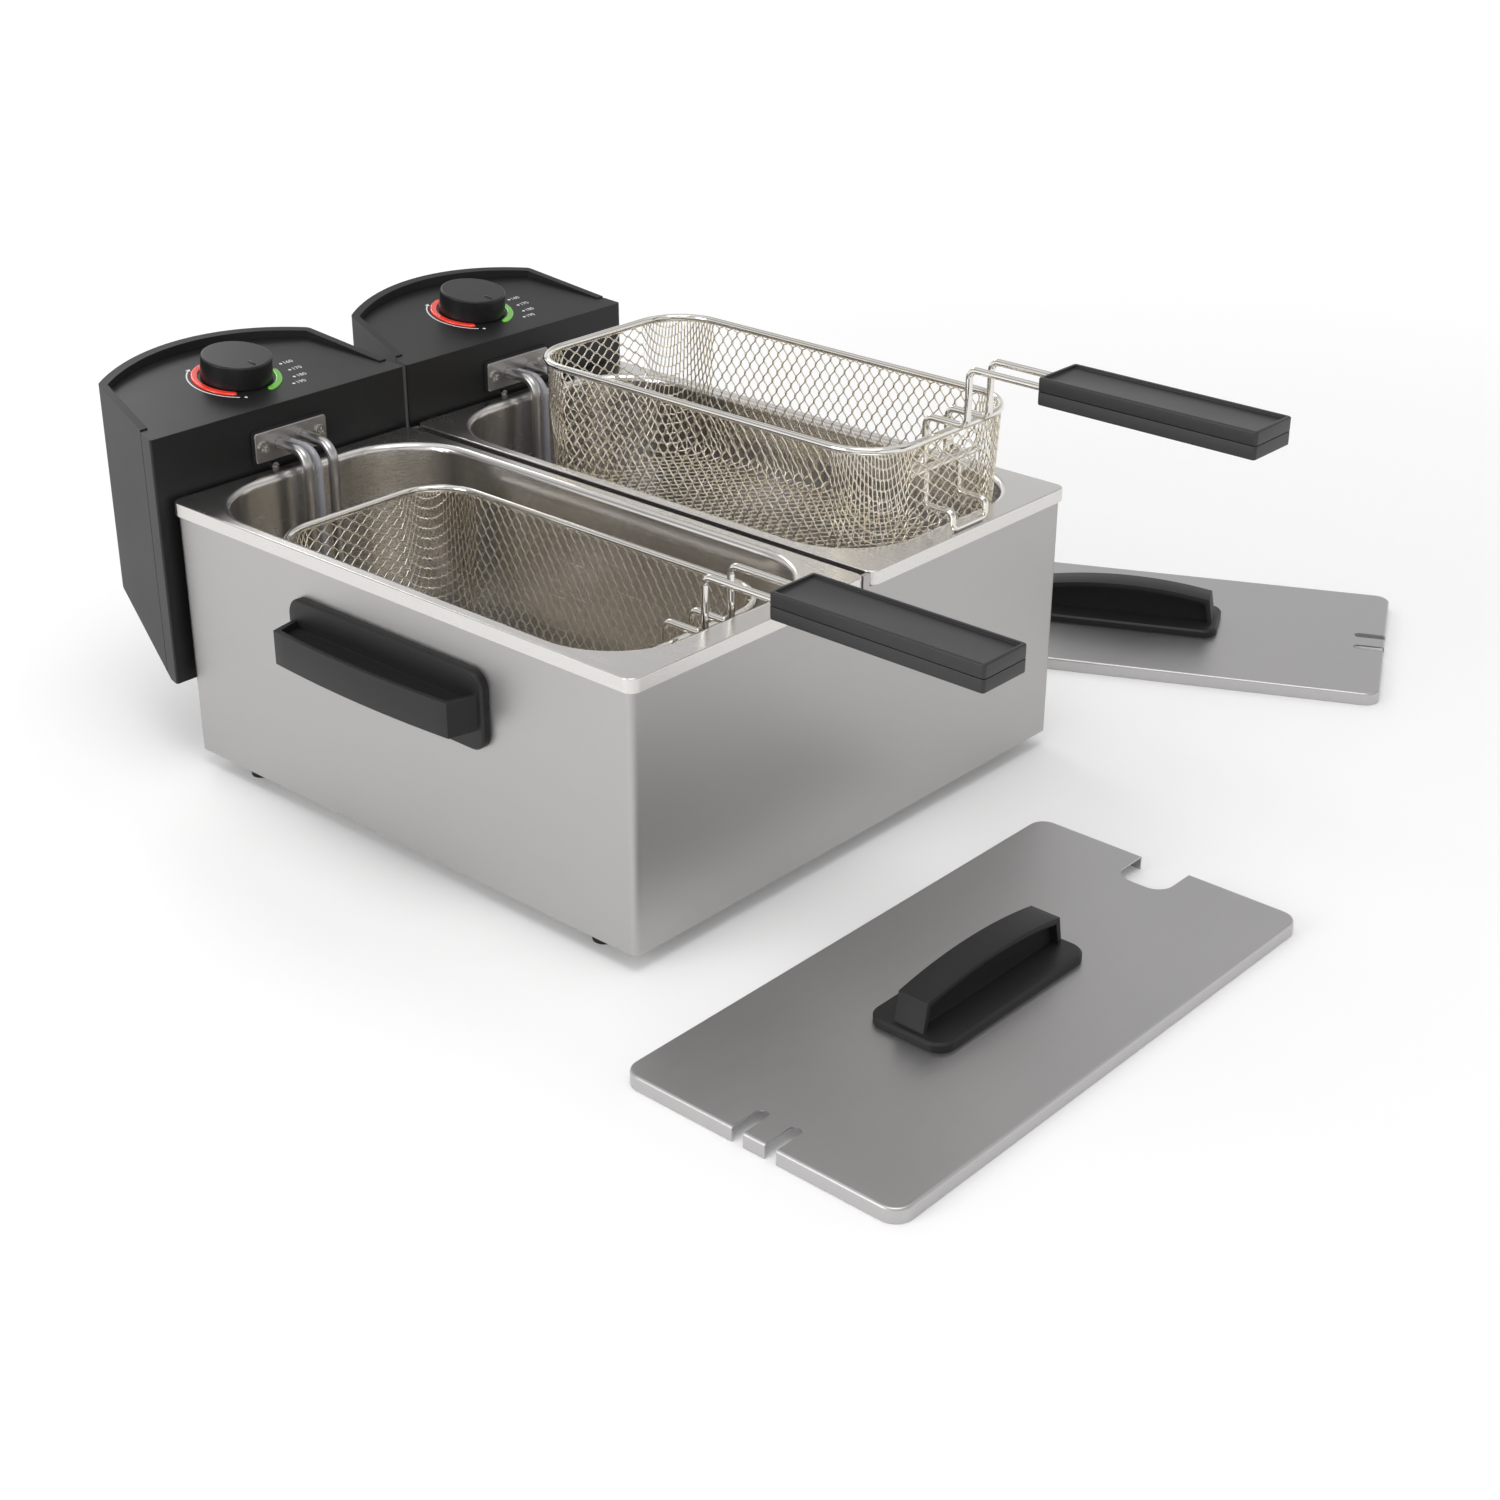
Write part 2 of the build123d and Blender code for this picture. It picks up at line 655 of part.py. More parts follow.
back = control_front + seam_depth
for side, sign in sides.items():
    x = sign * control_x
    unit_x = sign * tank_x
    top = panel_plane(x)
    slope_under = underside(x)
    under_y = underside_parts_back - control_floor_flat

    with BuildPart() as front_cover:
        add(control_block(x, 0, panel_slope, 0))
        add(control_block(x, cover_wall, panel_slope, cover_wall), mode=Mode.SUBTRACT)
        split(bisect_by=Plane(origin=(x, back, 0), z_dir=(0, 1, 0)), keep=Keep.BOTTOM)
        add(top_panel(x))
        for rib in (-1, 1):
            rib_x = x + rib * (guide_width / 2 - guide_sheet - guide_fit - rib_width / 2)
            with BuildSketch(level(rib_x, control_front, guide_bottom)):
                rib_reach = control_front - half_depth - guide_sheet - guide_fit
                Rectangle(rib_width, rib_reach, align=(Align.CENTER, Align.MAX))
            extrude(amount=guide_height)
        with BuildSketch(top):
            Circle(knob_stem_radius + stem_clearance)
            add(ring_sector(*red_arc, light_inner - light_fit, light_outer + light_fit))
            add(ring_sector(*green_arc, light_inner - light_fit, light_outer + light_fit))
        extrude(amount=cover_wall, both=True, mode=Mode.SUBTRACT)
        with BuildSketch(facing_front(unit_x, control_front + cover_wall, plate_z)):
            with GridLocations(tube_spacing, 1, 2, 1):
                Circle(tube_radius + hole_fit)
            with Locations((0, -sleeve_drop)):
                Circle(sleeve_radius + hole_fit)
            with Locations((plate_screw_x, 0), (-plate_screw_x, 0), (pilot_screw_x, -pilot_screw_drop)):
                Circle(pilot_hole_radius)
        extrude(amount=cover_wall, mode=Mode.SUBTRACT)
        with BuildSketch(facing_front(x, control_front + cover_wall, 0)):
            with Locations(*[(s * cover_screw_x, z) for s in (-1, 1) for z in cover_screw_z]):
                Circle(cover_screw_shank + hole_fit)
        extrude(amount=cover_wall, mode=Mode.SUBTRACT)
    front_cover.part.label = f"control_front_cover_{side}"
    export_step(front_cover.part, f"parts/control_front_cover_{side}.step")

    with BuildPart() as rear_cover:
        add(control_block(x, 0, rim_slope, 0))
        add(control_block(x, cover_wall, rim_slope, rim_band), mode=Mode.SUBTRACT)
        with BuildSketch(level(x, control_front, control_front_top - rim_band)):
            add(control_plan(rim_width))
        extrude(amount=control_front_top, mode=Mode.SUBTRACT)
        split(bisect_by=Plane(origin=(x, back + seam_gap, 0), z_dir=(0, 1, 0)), keep=Keep.TOP)
        with BuildSketch(facing_front(x, control_front + control_side_depth + cover_wall, 0)):
            with Locations(*[(s * cover_screw_x, z) for s in (-1, 1) for z in cover_screw_z]):
                Circle(boss_radius)
        extrude(amount=control_side_depth - base_gap)
        add(control_block(x, 0, rim_slope, 0), mode=Mode.INTERSECT)
        with BuildSketch(facing_front(x, control_front + cover_wall + cover_screw_length, 0)):
            with Locations(*[(s * cover_screw_x, z) for s in (-1, 1) for z in cover_screw_z]):
                Circle(cover_screw_shank + hole_fit)
        extrude(amount=cover_screw_length, mode=Mode.SUBTRACT)
        with BuildSketch(slope_under):
            with Locations((0, under_y)):
                Circle(gland_radius)
            with Locations((-button_x, under_y)):
                Circle(button_radius + button_fit)
        extrude(amount=-2 * cover_wall, mode=Mode.SUBTRACT)
    rear_cover.part.label = f"control_rear_cover_{side}"
    export_step(rear_cover.part, f"parts/control_rear_cover_{side}.step")

    with BuildPart() as cover_screws:
        add(
            pan_screws(
                facing_front(x, control_front, 0),
                [(s * cover_screw_x, z) for s in (-1, 1) for z in cover_screw_z],
                cover_screw_head, cover_screw_height, cover_screw_shank, cover_screw_length,
            )
        )
    cover_screws.part.label = f"cover_screws_{side}"
    export_step(cover_screws.part, f"parts/cover_screws_{side}.step")

    with BuildPart() as knob:
        with BuildSketch(panel_plane(x, knob_lift)):
            Circle(knob_radius)
        extrude(amount=knob_height, taper=knob_taper)
        circles = knob.edges().filter_by(GeomType.CIRCLE)
        fillet(circles.sort_by(Axis(top.origin, top.z_dir))[-1], radius=knob_edge)
        with BuildSketch(panel_plane(x, knob_lift)):
            Circle(knob_stem_radius)
        extrude(amount=-(knob_lift + cover_wall + knob_stem_length))
    knob.part.label = f"knob_{side}"
    export_step(knob.part, f"parts/knob_{side}.step")

    with BuildPart() as thermostat:
        with BuildSketch(panel_plane(x, -cover_wall)):
            Circle(thermostat_radius)
        extrude(amount=-thermostat_height)
        with BuildSketch(panel_plane(x, -cover_wall - thermostat_tabs[2])):
            Rectangle(thermostat_tabs[0], thermostat_tabs[1])
        extrude(amount=-thermostat_tabs[2])
        with BuildSketch(panel_plane(x, -cover_wall)):
            Circle(knob_stem_radius + stem_clearance)
        extrude(amount=-thermostat_bore, mode=Mode.SUBTRACT)
    thermostat.part.label = f"thermostat_{side}"
    export_step(thermostat.part, f"parts/thermostat_{side}.step")

    for colour, arc in (("red", red_arc), ("green", green_arc)):
        with BuildPart() as light_guide:
            with BuildSketch(panel_plane(x, light_rise)):
                add(ring_sector(*arc, light_inner, light_outer))
            extrude(amount=-light_depth)
            crown = light_guide.faces().sort_by(Axis(top.origin, top.z_dir))[-1]
            fillet(crown.edges(), radius=light_edge)
        light_guide.part.label = f"{colour}_light_guide_{side}"
        export_step(light_guide.part, f"parts/{colour}_light_guide_{side}.step")

    with BuildPart() as element_gasket:
        with BuildSketch(facing_front(unit_x, control_front, plate_z)):
            RectangleRounded(plate_width + 2 * gasket_border, plate_height + 2 * gasket_border, gasket_corner)
            with GridLocations(tube_spacing, 1, 2, 1):
                Circle(tube_radius + hole_fit, mode=Mode.SUBTRACT)
            with Locations((0, -sleeve_drop)):
                Circle(sleeve_radius + hole_fit, mode=Mode.SUBTRACT)
            with Locations((plate_screw_x, 0), (-plate_screw_x, 0)):
                Circle(plate_hole_radius, mode=Mode.SUBTRACT)
        extrude(amount=gasket_thickness)
    element_gasket.part.label = f"element_gasket_{side}"
    export_step(element_gasket.part, f"parts/element_gasket_{side}.step")

    plate_back = control_front - gasket_thickness
    with BuildPart() as element_plate:
        with BuildSketch(facing_front(unit_x, plate_back, plate_z)):
            RectangleRounded(plate_width, plate_height, plate_corner)
        extrude(amount=plate_thickness)
        chamfer(outer_edges(element_plate, facing_front(unit_x, plate_back, plate_z)), length=plate_edge)
        with BuildSketch(facing_front(unit_x, plate_back, plate_z)):
            with GridLocations(tube_spacing, 1, 2, 1):
                Circle(tube_radius + hole_fit)
            with Locations((0, -sleeve_drop)):
                Circle(sleeve_radius + hole_fit)
            with Locations((plate_screw_x, 0), (-plate_screw_x, 0)):
                Circle(plate_hole_radius)
        extrude(amount=plate_thickness, mode=Mode.SUBTRACT)
    element_plate.part.label = f"element_plate_{side}"
    export_step(element_plate.part, f"parts/element_plate_{side}.step")

    with BuildPart() as plate_screws:
        add(
            pan_screws(
                facing_front(unit_x, plate_back - plate_thickness, plate_z),
                [(plate_screw_x, 0), (-plate_screw_x, 0)],
                plate_screw_radius, plate_screw_height, plate_screw_shank, plate_screw_length,
            )
        )
        add(
            pan_screws(
                facing_front(unit_x, control_front, plate_z - pilot_screw_drop),
                [(pilot_screw_x, 0)],
                pilot_screw_radius, pilot_screw_height, plate_screw_shank, pilot_screw_length,
            )
        )
    plate_screws.part.label = f"plate_screws_{side}"
    export_step(plate_screws.part, f"parts/plate_screws_{side}.step")

    half_spacing = tube_spacing / 2
    front_y = tank_front_wall + element_front_gap
    rear_y = tube_y - element_rear_gap
    half_route = [
        (half_spacing, control_front + tube_inside, plate_z),
        (half_spacing, tube_y, plate_z),
        (half_spacing, tube_y, element_z),
        (half_spacing, tube_y - element_rear_gap / 2, element_z),
        (element_outer_x, rear_y - 2 * tube_bend, element_z),
        (element_outer_x, front_y, element_z),
        (element_inner_x, front_y, element_z),
        (element_inner_x, rear_y - 4 * tube_bend, element_z),
    ]
    element_route = [(unit_x - px, py, pz) for px, py, pz in half_route]
    element_route += [(unit_x + px, py, pz) for px, py, pz in reversed(half_route)]
    with BuildPart() as heating_element:
        add(swept_round(element_route, element_bend, tube_radius))
    heating_element.part.label = f"heating_element_{side}"
    export_step(heating_element.part, f"parts/heating_element_{side}.step")

    sleeve_route = [
        (unit_x, control_front + tube_inside, plate_z - sleeve_drop),
        (unit_x, tube_y + sleeve_back, plate_z - sleeve_drop),
        (unit_x, tube_y + sleeve_back, element_z + sleeve_end_gap),
    ]
    with BuildPart() as sensor_sleeve:
        add(swept_round(sleeve_route, tube_bend, sleeve_radius))
    sensor_sleeve.part.label = f"sensor_sleeve_{side}"
    export_step(sensor_sleeve.part, f"parts/sensor_sleeve_{side}.step")

    with BuildPart() as safety_switch:
        with BuildSketch(facing_front(x + switch_x, control_front + cover_wall, switch_z)):
            Rectangle(switch_size[0], switch_size[1])
        extrude(amount=-switch_size[2])
        with BuildSketch(facing_front(x + switch_x, control_front + cover_wall + switch_size[2], switch_z)):
            with GridLocations(switch_tab_spacing, 1, 3, 1):
                Rectangle(switch_tab[0], switch_tab[1])
        extrude(amount=-switch_tab[2])
    safety_switch.part.label = f"safety_switch_{side}"
    export_step(safety_switch.part, f"parts/safety_switch_{side}.step")

    with BuildPart() as cord_gland:
        with BuildSketch(slope_under):
            with Locations((0, under_y)):
                Circle(gland_flange)
        extrude(amount=gland_flange_height)
        with BuildSketch(slope_under):
            with Locations((0, under_y)):
                Circle(gland_radius)
        extrude(amount=-gland_inside)
        with BuildSketch(slope_under):
            with Locations((0, under_y)):
                Circle(gland_radius - gland_wall)
        extrude(amount=gland_length, taper=gland_taper)
        with BuildSketch(slope_under.offset(gland_length)):
            with Locations((0, under_y)):
                Circle(gland_bore)
        extrude(amount=-(gland_length + gland_inside), mode=Mode.SUBTRACT)
    cord_gland.part.label = f"cord_gland_{side}"
    export_step(cord_gland.part, f"parts/cord_gland_{side}.step")

    with BuildPart() as reset_button:
        with BuildSketch(slope_under):
            with Locations((-button_x, under_y)):
                Circle(button_radius)
        extrude(amount=button_proud)
        with BuildSketch(slope_under):
            with Locations((-button_x, under_y)):
                Circle(button_radius)
        extrude(amount=-cover_wall - button_collar_height / 2)
        with BuildSketch(slope_under.offset(-cover_wall)):
            with Locations((-button_x, under_y)):
                Circle(button_collar)
        extrude(amount=-button_collar_height)
    reset_button.part.label = f"reset_button_{side}"
    export_step(reset_button.part, f"parts/reset_button_{side}.step")

# ---------------------------------------------------------------- baskets and their folding handles
rim_centre_width = basket_width - 2 * rim_wire_radius
rim_centre_length = basket_length - 2 * rim_wire_radius
for side, sign in sides.items():
    dx, dy, dz = basket_shifts[side]
    x = sign * tank_x + dx
    y = basket_y + dy
    rim_height = basket_rim_z + dz
    mesh_top = rim_height - rim_wire_radius

    with BuildPart() as basket_mesh:
        skin = (rim_centre_width + mesh_wall, rim_centre_length + mesh_wall)
        depth = basket_height - rim_wire_radius
        add(well(x, y, mesh_top, skin, basket_corner, depth, basket_floor_round, basket_taper))
        hollow = (skin[0] - 2 * mesh_wall, skin[1] - 2 * mesh_wall)
        corner, floor_round = basket_corner - mesh_wall, basket_floor_round - mesh_wall
        add(
            well(x, y, mesh_top, hollow, corner, depth - mesh_wall, floor_round, basket_taper),
            mode=Mode.SUBTRACT,
        )
    basket_mesh.part.label = f"basket_mesh_{side}"
    export_step(basket_mesh.part, f"parts/basket_mesh_{side}.step")

    with BuildPart() as basket_rim:
        with BuildSketch(level(x, y, rim_height)) as rim_outline:
            RectangleRounded(rim_centre_width, rim_centre_length, basket_corner)
        rim_wire = rim_outline.sketch.faces()[0].outer_wire()
        basket_rim.pending_faces.clear()
        with BuildSketch(Plane(origin=rim_wire @ 0, z_dir=rim_wire % 0)):
            Circle(rim_wire_radius)
        sweep(path=rim_wire)
    basket_rim.part.label = f"basket_rim_{side}"
    export_step(basket_rim.part, f"parts/basket_rim_{side}.step")

    py, pz = pivot_y + dy, pivot_z + dz
    arm_y = basket_front + dy + rim_wire_radius + 3 * frame_wire_radius
    bar_y, bar_z = hook_bar_y + dy, hook_bar_z + dz
    half_hook = [
        (hook_half_width, arm_y, pz),
        (hook_half_width, arm_y, bar_z + hook_step),
        (hook_half_width, bar_y, bar_z + hook_step),
        (hook_half_width, bar_y, bar_z),
    ]
    hook_route = [(x - hx, hy, hz) for hx, hy, hz in half_hook]
    hook_route += [(x + hx, hy, hz) for hx, hy, hz in reversed(half_hook)]
    eye_reach = py - arm_y
    with BuildPart() as basket_frame:
        add(swept_round(hook_route, hook_bend, frame_wire_radius))
        with BuildSketch(Plane(origin=(x - cross_bar / 2, arm_y, pz), x_dir=(0, 1, 0), z_dir=(1, 0, 0))):
            Circle(cross_bar_radius)
        extrude(amount=cross_bar)
        for hand in (-1, 1):
            eye_plane = Plane(
                origin=(x + hand * eye_x - eye_thickness / 2, py, pz), x_dir=(0, 1, 0), z_dir=(1, 0, 0)
            )
            with BuildSketch(eye_plane):
                Circle(eye_radius)
                with Locations((-eye_reach / 2, 0)):
                    Rectangle(eye_reach, 2 * frame_wire_radius)
            extrude(amount=eye_thickness)
        with BuildSketch(Plane(origin=(x - cross_bar / 2, py, pz), x_dir=(0, 1, 0), z_dir=(1, 0, 0))):
            Circle(wire_radius + pivot_clearance)
        extrude(amount=cross_bar, mode=Mode.SUBTRACT)
    basket_frame.part.label = f"basket_frame_{side}"
    export_step(basket_frame.part, f"parts/basket_frame_{side}.step")

    wire_x = wire_spacing / 2
    low_z = rim_height + wire_over_rim
    leg_y = basket_front + dy - leg_forward
    high_z = grip_axis_z + dz
    grip_y = basket_front + dy - grip_start
    half_wire = [
        (wire_x + pin_reach, py, pz),
        (wire_x, py, pz),
        (wire_x, py, low_z),
        (wire_x, leg_y, low_z),
        (wire_x, leg_y, high_z),
        (wire_x, grip_y - wire_in_grip, high_z),
    ]
    wire_route = [(x - wx, wy, wz) for wx, wy, wz in half_wire]
    wire_route += [(x + wx, wy, wz) for wx, wy, wz in reversed(half_wire)]
    with BuildPart() as handle_wire:
        add(swept_round(wire_route, wire_bend, wire_radius))
    handle_wire.part.label = f"handle_wire_{side}"
    export_step(handle_wire.part, f"parts/handle_wire_{side}.step")

    groove_route = [(wx, wy, high_z) for wx, wy, _ in wire_route[5:7]]
    groove_end = grip_y + wire_groove_run
    groove_route.insert(0, (x - wire_x, groove_end, high_z))
    groove_route.append((x + wire_x, groove_end, high_z))
    grip_middle = grip_y - grip_length / 2
    for half, up in (("lower", -1), ("upper", 1)):
        start = high_z + (grip_seam / 2 if up > 0 else -grip_seam / 2)
        with BuildPart() as grip_half:
            with BuildSketch(level(x, grip_middle, start)):
                RectangleRounded(grip_width, grip_length, grip_corner)
            extrude(amount=up * (grip_height - grip_seam) / 2)
            far_face = grip_half.faces().sort_by(Axis.Z)[-1 if up > 0 else 0]
            fillet(far_face.edges(), radius=grip_far_edge)
            if up > 0:
                with BuildSketch(level(x, grip_middle, high_z + grip_height / 2)):
                    tray = (grip_width - 2 * grip_tray_rim, grip_length - 2 * grip_tray_rim)
                    RectangleRounded(*tray, grip_corner / 2)
                extrude(amount=-grip_tray_depth, mode=Mode.SUBTRACT)
            add(swept_round(groove_route, wire_bend, wire_radius + wire_groove_fit), mode=Mode.SUBTRACT)
        grip_half.part.label = f"handle_grip_{half}_{side}"
        export_step(grip_half.part, f"parts/handle_grip_{half}_{side}.step")

# ---------------------------------------------------------------- lids, laid on the table
for name, (lid_x, lid_y, turn) in lid_places.items():
    a = radians(turn)
    table = Plane(origin=(lid_x, lid_y, 0), x_dir=(cos(a), sin(a), 0), z_dir=(0, 0, 1))
    lid_top = table.offset(lid_lip)
    with BuildPart() as lid_plate:
        with BuildSketch(lid_top):
            RectangleRounded(lid_width, lid_length, lid_corner)
        extrude(amount=-lid_lip)
        fillet(outer_edges(lid_plate, table), radius=lid_edge)
        with BuildSketch(lid_top.offset(-lid_sheet)):
            RectangleRounded(lid_width - 2 * lid_sheet, lid_length - 2 * lid_sheet, lid_corner - lid_sheet)
        extrude(amount=-lid_lip, mode=Mode.SUBTRACT)
        with BuildSketch(lid_top):
            with Locations((0, lid_length / 2)):
                RectangleRounded(lid_notch_width, 2 * lid_notch_depth, lid_notch_width / 3)
            for slot in (-1, 1):
                with Locations((slot * wire_spacing / 2, -lid_length / 2)):
                    RectangleRounded(lid_slot_width, 2 * lid_slot_length, lid_slot_width / 2.5)
        extrude(amount=-lid_lip, mode=Mode.SUBTRACT)
        with BuildSketch(lid_top):
            with GridLocations(1, grip_screw_spacing, 1, 2):
                Circle(grip_screw_radius)
        extrude(amount=-lid_sheet, mode=Mode.SUBTRACT)
    lid_plate.part.label = f"lid_plate_{name}"
    export_step(lid_plate.part, f"parts/lid_plate_{name}.step")

    grip_base = Plane(origin=lid_top.origin, x_dir=lid_top.y_dir, z_dir=(0, 0, 1))
    with BuildPart() as lid_handle:
        add(bowed_grip(grip_base, lid_grip_plate, lid_grip_bar))
    lid_handle.part.label = f"lid_handle_{name}"
    export_step(lid_handle.part, f"parts/lid_handle_{name}.step")

    beneath = Plane(origin=lid_top.offset(-lid_sheet).origin, x_dir=grip_base.x_dir, z_dir=(0, 0, -1))
    with BuildPart() as lid_screws:
        add(grip_screws(beneath, lid_sheet + grip_screw_length))
    lid_screws.part.label = f"lid_screws_{name}"
    export_step(lid_screws.part, f"parts/lid_screws_{name}.step")
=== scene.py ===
"""Looks of the twin-tank deep fryer: its finishes, wire baskets, dial print, screws and stage."""

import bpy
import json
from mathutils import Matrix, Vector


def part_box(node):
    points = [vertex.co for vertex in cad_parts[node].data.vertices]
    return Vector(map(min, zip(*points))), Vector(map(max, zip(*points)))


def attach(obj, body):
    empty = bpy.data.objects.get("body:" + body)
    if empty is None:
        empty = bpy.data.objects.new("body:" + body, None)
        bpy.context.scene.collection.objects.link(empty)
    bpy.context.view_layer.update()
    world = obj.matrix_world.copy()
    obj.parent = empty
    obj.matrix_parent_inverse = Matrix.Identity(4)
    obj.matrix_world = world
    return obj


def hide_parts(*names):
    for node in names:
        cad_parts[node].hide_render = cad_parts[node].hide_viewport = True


bl_info = {
    "name": "Deep fryer looks",
    "version": (1, 0, 0),
    "blender": (4, 2, 0),
    "location": "3D View > Sidebar > Fryer",
    "description": "Finishes a twin-tank deep fryer around its CAD frame",
    "category": "Object",
}

import json
import math

import bpy
from bpy.props import FloatProperty, FloatVectorProperty, PointerProperty
from bpy.types import Operator, Panel, PropertyGroup
from mathutils import Matrix, Vector

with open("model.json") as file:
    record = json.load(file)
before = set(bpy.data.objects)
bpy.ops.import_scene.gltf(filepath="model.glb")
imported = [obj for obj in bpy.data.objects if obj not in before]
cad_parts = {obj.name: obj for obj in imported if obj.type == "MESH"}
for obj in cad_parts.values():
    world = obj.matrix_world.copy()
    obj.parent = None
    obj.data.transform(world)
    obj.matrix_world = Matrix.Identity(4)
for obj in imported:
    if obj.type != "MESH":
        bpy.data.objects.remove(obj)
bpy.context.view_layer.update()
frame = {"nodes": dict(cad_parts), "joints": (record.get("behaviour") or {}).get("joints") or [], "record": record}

MM = 0.001
SIDES = ("left", "right")
JOINTS = {joint["name"]: joint for joint in frame["joints"]}
BODIES = frame["record"]["behaviour"]["bodies"]
BODY_OF = {node: body for body, nodes in BODIES.items() for node in nodes}
SLOT_OF = {part["node"]: part["material_slot"] for part in frame["record"]["subparts"]}


# ---------------------------------------------------------------- shader maths
class Signal:
    """A shader value or colour that can be used in plain arithmetic."""

    def __init__(self, tree, socket):
        self.tree = tree
        self.socket = socket

    def _maths(self, operation, first, second):
        node = self.tree.nodes.new("ShaderNodeMath")
        node.operation = operation
        for slot, term in zip(node.inputs, (first, second)):
            feed(self.tree, slot, term)
        return Signal(self.tree, node.outputs[0])

    def __add__(self, other):
        return self._maths("ADD", self, other)

    def __radd__(self, other):
        return self._maths("ADD", other, self)

    def __sub__(self, other):
        return self._maths("SUBTRACT", self, other)

    def __rsub__(self, other):
        return self._maths("SUBTRACT", other, self)

    def __mul__(self, other):
        return self._maths("MULTIPLY", self, other)

    def __rmul__(self, other):
        return self._maths("MULTIPLY", other, self)

    def __pow__(self, other):
        return self._maths("POWER", self, other)


def feed(tree, slot, value):
    """Links a signal to a socket, or sets the socket's own value."""
    if isinstance(value, Signal):
        tree.links.new(value.socket, slot)
    else:
        slot.default_value = value


class Finish:
    """One material being made: adds nodes and wraps what they give."""

    def __init__(self, name):
        self.material = bpy.data.materials.new(name)
        self.material.use_nodes = True
        self.tree = self.material.node_tree
        self.shader = self.tree.nodes["Principled BSDF"]
        self.place = self.node("ShaderNodeTexCoord", output="Object")

    def node(self, kind, settings=None, inputs=None, output=0):
        """Adds a node, sets its settings first and then its sockets, and returns one of its outputs."""
        made = self.tree.nodes.new(kind)
        for name, value in (settings or {}).items():
            setattr(made, name, value)
        for name, value in (inputs or {}).items():
            feed(self.tree, made.inputs[name], value)
        return Signal(self.tree, made.outputs[output])

    def noise(self, stretch, detail=2.0, roughness=0.5):
        """Noise from 0 to 1 whose cells are 1/stretch metres along X, Y and Z."""
        spot = self.node("ShaderNodeMapping", inputs={"Vector": self.place, "Scale": stretch})
        settings = {"Vector": spot, "Scale": 1.0, "Detail": detail, "Roughness": roughness}
        return self.node("ShaderNodeTexNoise", inputs=settings)

    def between(self, low, high, share):
        """A colour between two colours."""
        inputs = {"Factor": share, 6: (*low, 1.0), 7: (*high, 1.0)}
        return self.node("ShaderNodeMix", {"data_type": "RGBA"}, inputs, output=2)

    def set(self, **values):
        """Sets or links the shader's sockets: base_color=... feeds Base Color."""
        for name, value in values.items():
            feed(self.tree, self.shader.inputs[name.replace("_", " ").title()], value)

    def relief(self, height, depth, strength=1.0):
        """Bumps the surface by a height signal, over a depth in metres."""
        inputs = {"Height": height, "Distance": depth, "Strength": strength}
        self.set(normal=self.node("ShaderNodeBump", inputs=inputs))


def shade(colour, factor):
    """A colour made lighter or darker."""
    return tuple(min(1.0, channel * factor) for channel in colour)


# ---------------------------------------------------------------- finishes
def brushed(name, colour, roughness, grain, contrast=0.05, depth=0.02):
    """Sheet steel with brush lines: grain is lines or breaks per metre along X, Y and Z."""
    finish = Finish(name)
    lines = finish.noise(grain, detail=4.0, roughness=0.65)
    bands = finish.noise(tuple(g * 0.22 for g in grain), detail=2.0)
    haze = finish.noise((9.0, 9.0, 9.0), detail=3.0)
    tone = lines * 0.55 + bands * 0.25 + haze * 0.2
    light, dark = shade(colour, 1 + 2 * contrast), shade(colour, 1 - 2 * contrast)
    finish.set(
        metallic=1.0,
        base_color=finish.between(dark, light, tone),
        roughness=roughness - 0.11 + lines * 0.14 + haze * 0.08,
    )
    finish.relief(lines, depth * MM, 0.5)
    return finish.material


def moulded(name, colour, roughness, grain_per_mm=2.2, depth=0.03, shine=0.36):
    """Black moulded plastic: a fine erosion texture, and a faint handling haze."""
    finish = Finish(name)
    per_metre = grain_per_mm / MM
    grain = finish.noise((per_metre,) * 3, detail=2.0)
    haze = finish.noise((14.0, 14.0, 14.0), detail=4.0, roughness=0.6)
    finish.set(
        base_color=finish.between(shade(colour, 0.8), shade(colour, 1.3), haze * 0.6 + grain * 0.4),
        roughness=roughness - 0.09 + haze * 0.12 + grain * 0.06,
    )
    finish.shader.inputs["Specular IOR Level"].default_value = shine
    finish.relief(grain, depth * MM, 0.6)
    return finish.material


def plated(name, colour, tint, roughness):
    """Bright drawn wire or screws: fine draw marks and a faint warm tint in places."""
    finish = Finish(name)
    marks = finish.noise((700.0, 700.0, 700.0), detail=2.0)
    haze = finish.noise((26.0, 26.0, 26.0), detail=2.0)
    finish.set(
        metallic=1.0,
        base_color=finish.between(colour, tint, haze ** 1.6),
        roughness=roughness + marks * 0.06,
    )
    finish.relief(marks, 0.01 * MM, 0.4)
    return finish.material


def lens(name, colour, glow):
    """A glossy coloured light guide that carries a little light of its own."""
    finish = Finish(name)
    cloud = finish.noise((160.0, 160.0, 160.0), detail=2.0)
    tone = finish.between(shade(colour, 0.82), shade(colour, 1.1), cloud)
    finish.set(base_color=tone, roughness=0.14 + cloud * 0.08)
    finish.shader.inputs["Coat Weight"].default_value = 0.6
    finish.shader.inputs["Emission Color"].default_value = (*colour, 1.0)
    finish.shader.inputs["Emission Strength"].default_value = glow
    return finish.material


def milky(name, colour):
    """A semi-clear plastic sleeve."""
    finish = Finish(name)
    cloud = finish.noise((90.0, 90.0, 40.0), detail=3.0)
    tone = finish.between(shade(colour, 0.8), shade(colour, 1.15), cloud)
    finish.set(base_color=tone, roughness=0.2 + cloud * 0.15)
    finish.shader.inputs["Coat Weight"].default_value = 0.4
    finish.shader.inputs["Transmission Weight"].default_value = 0.25
    return finish.material


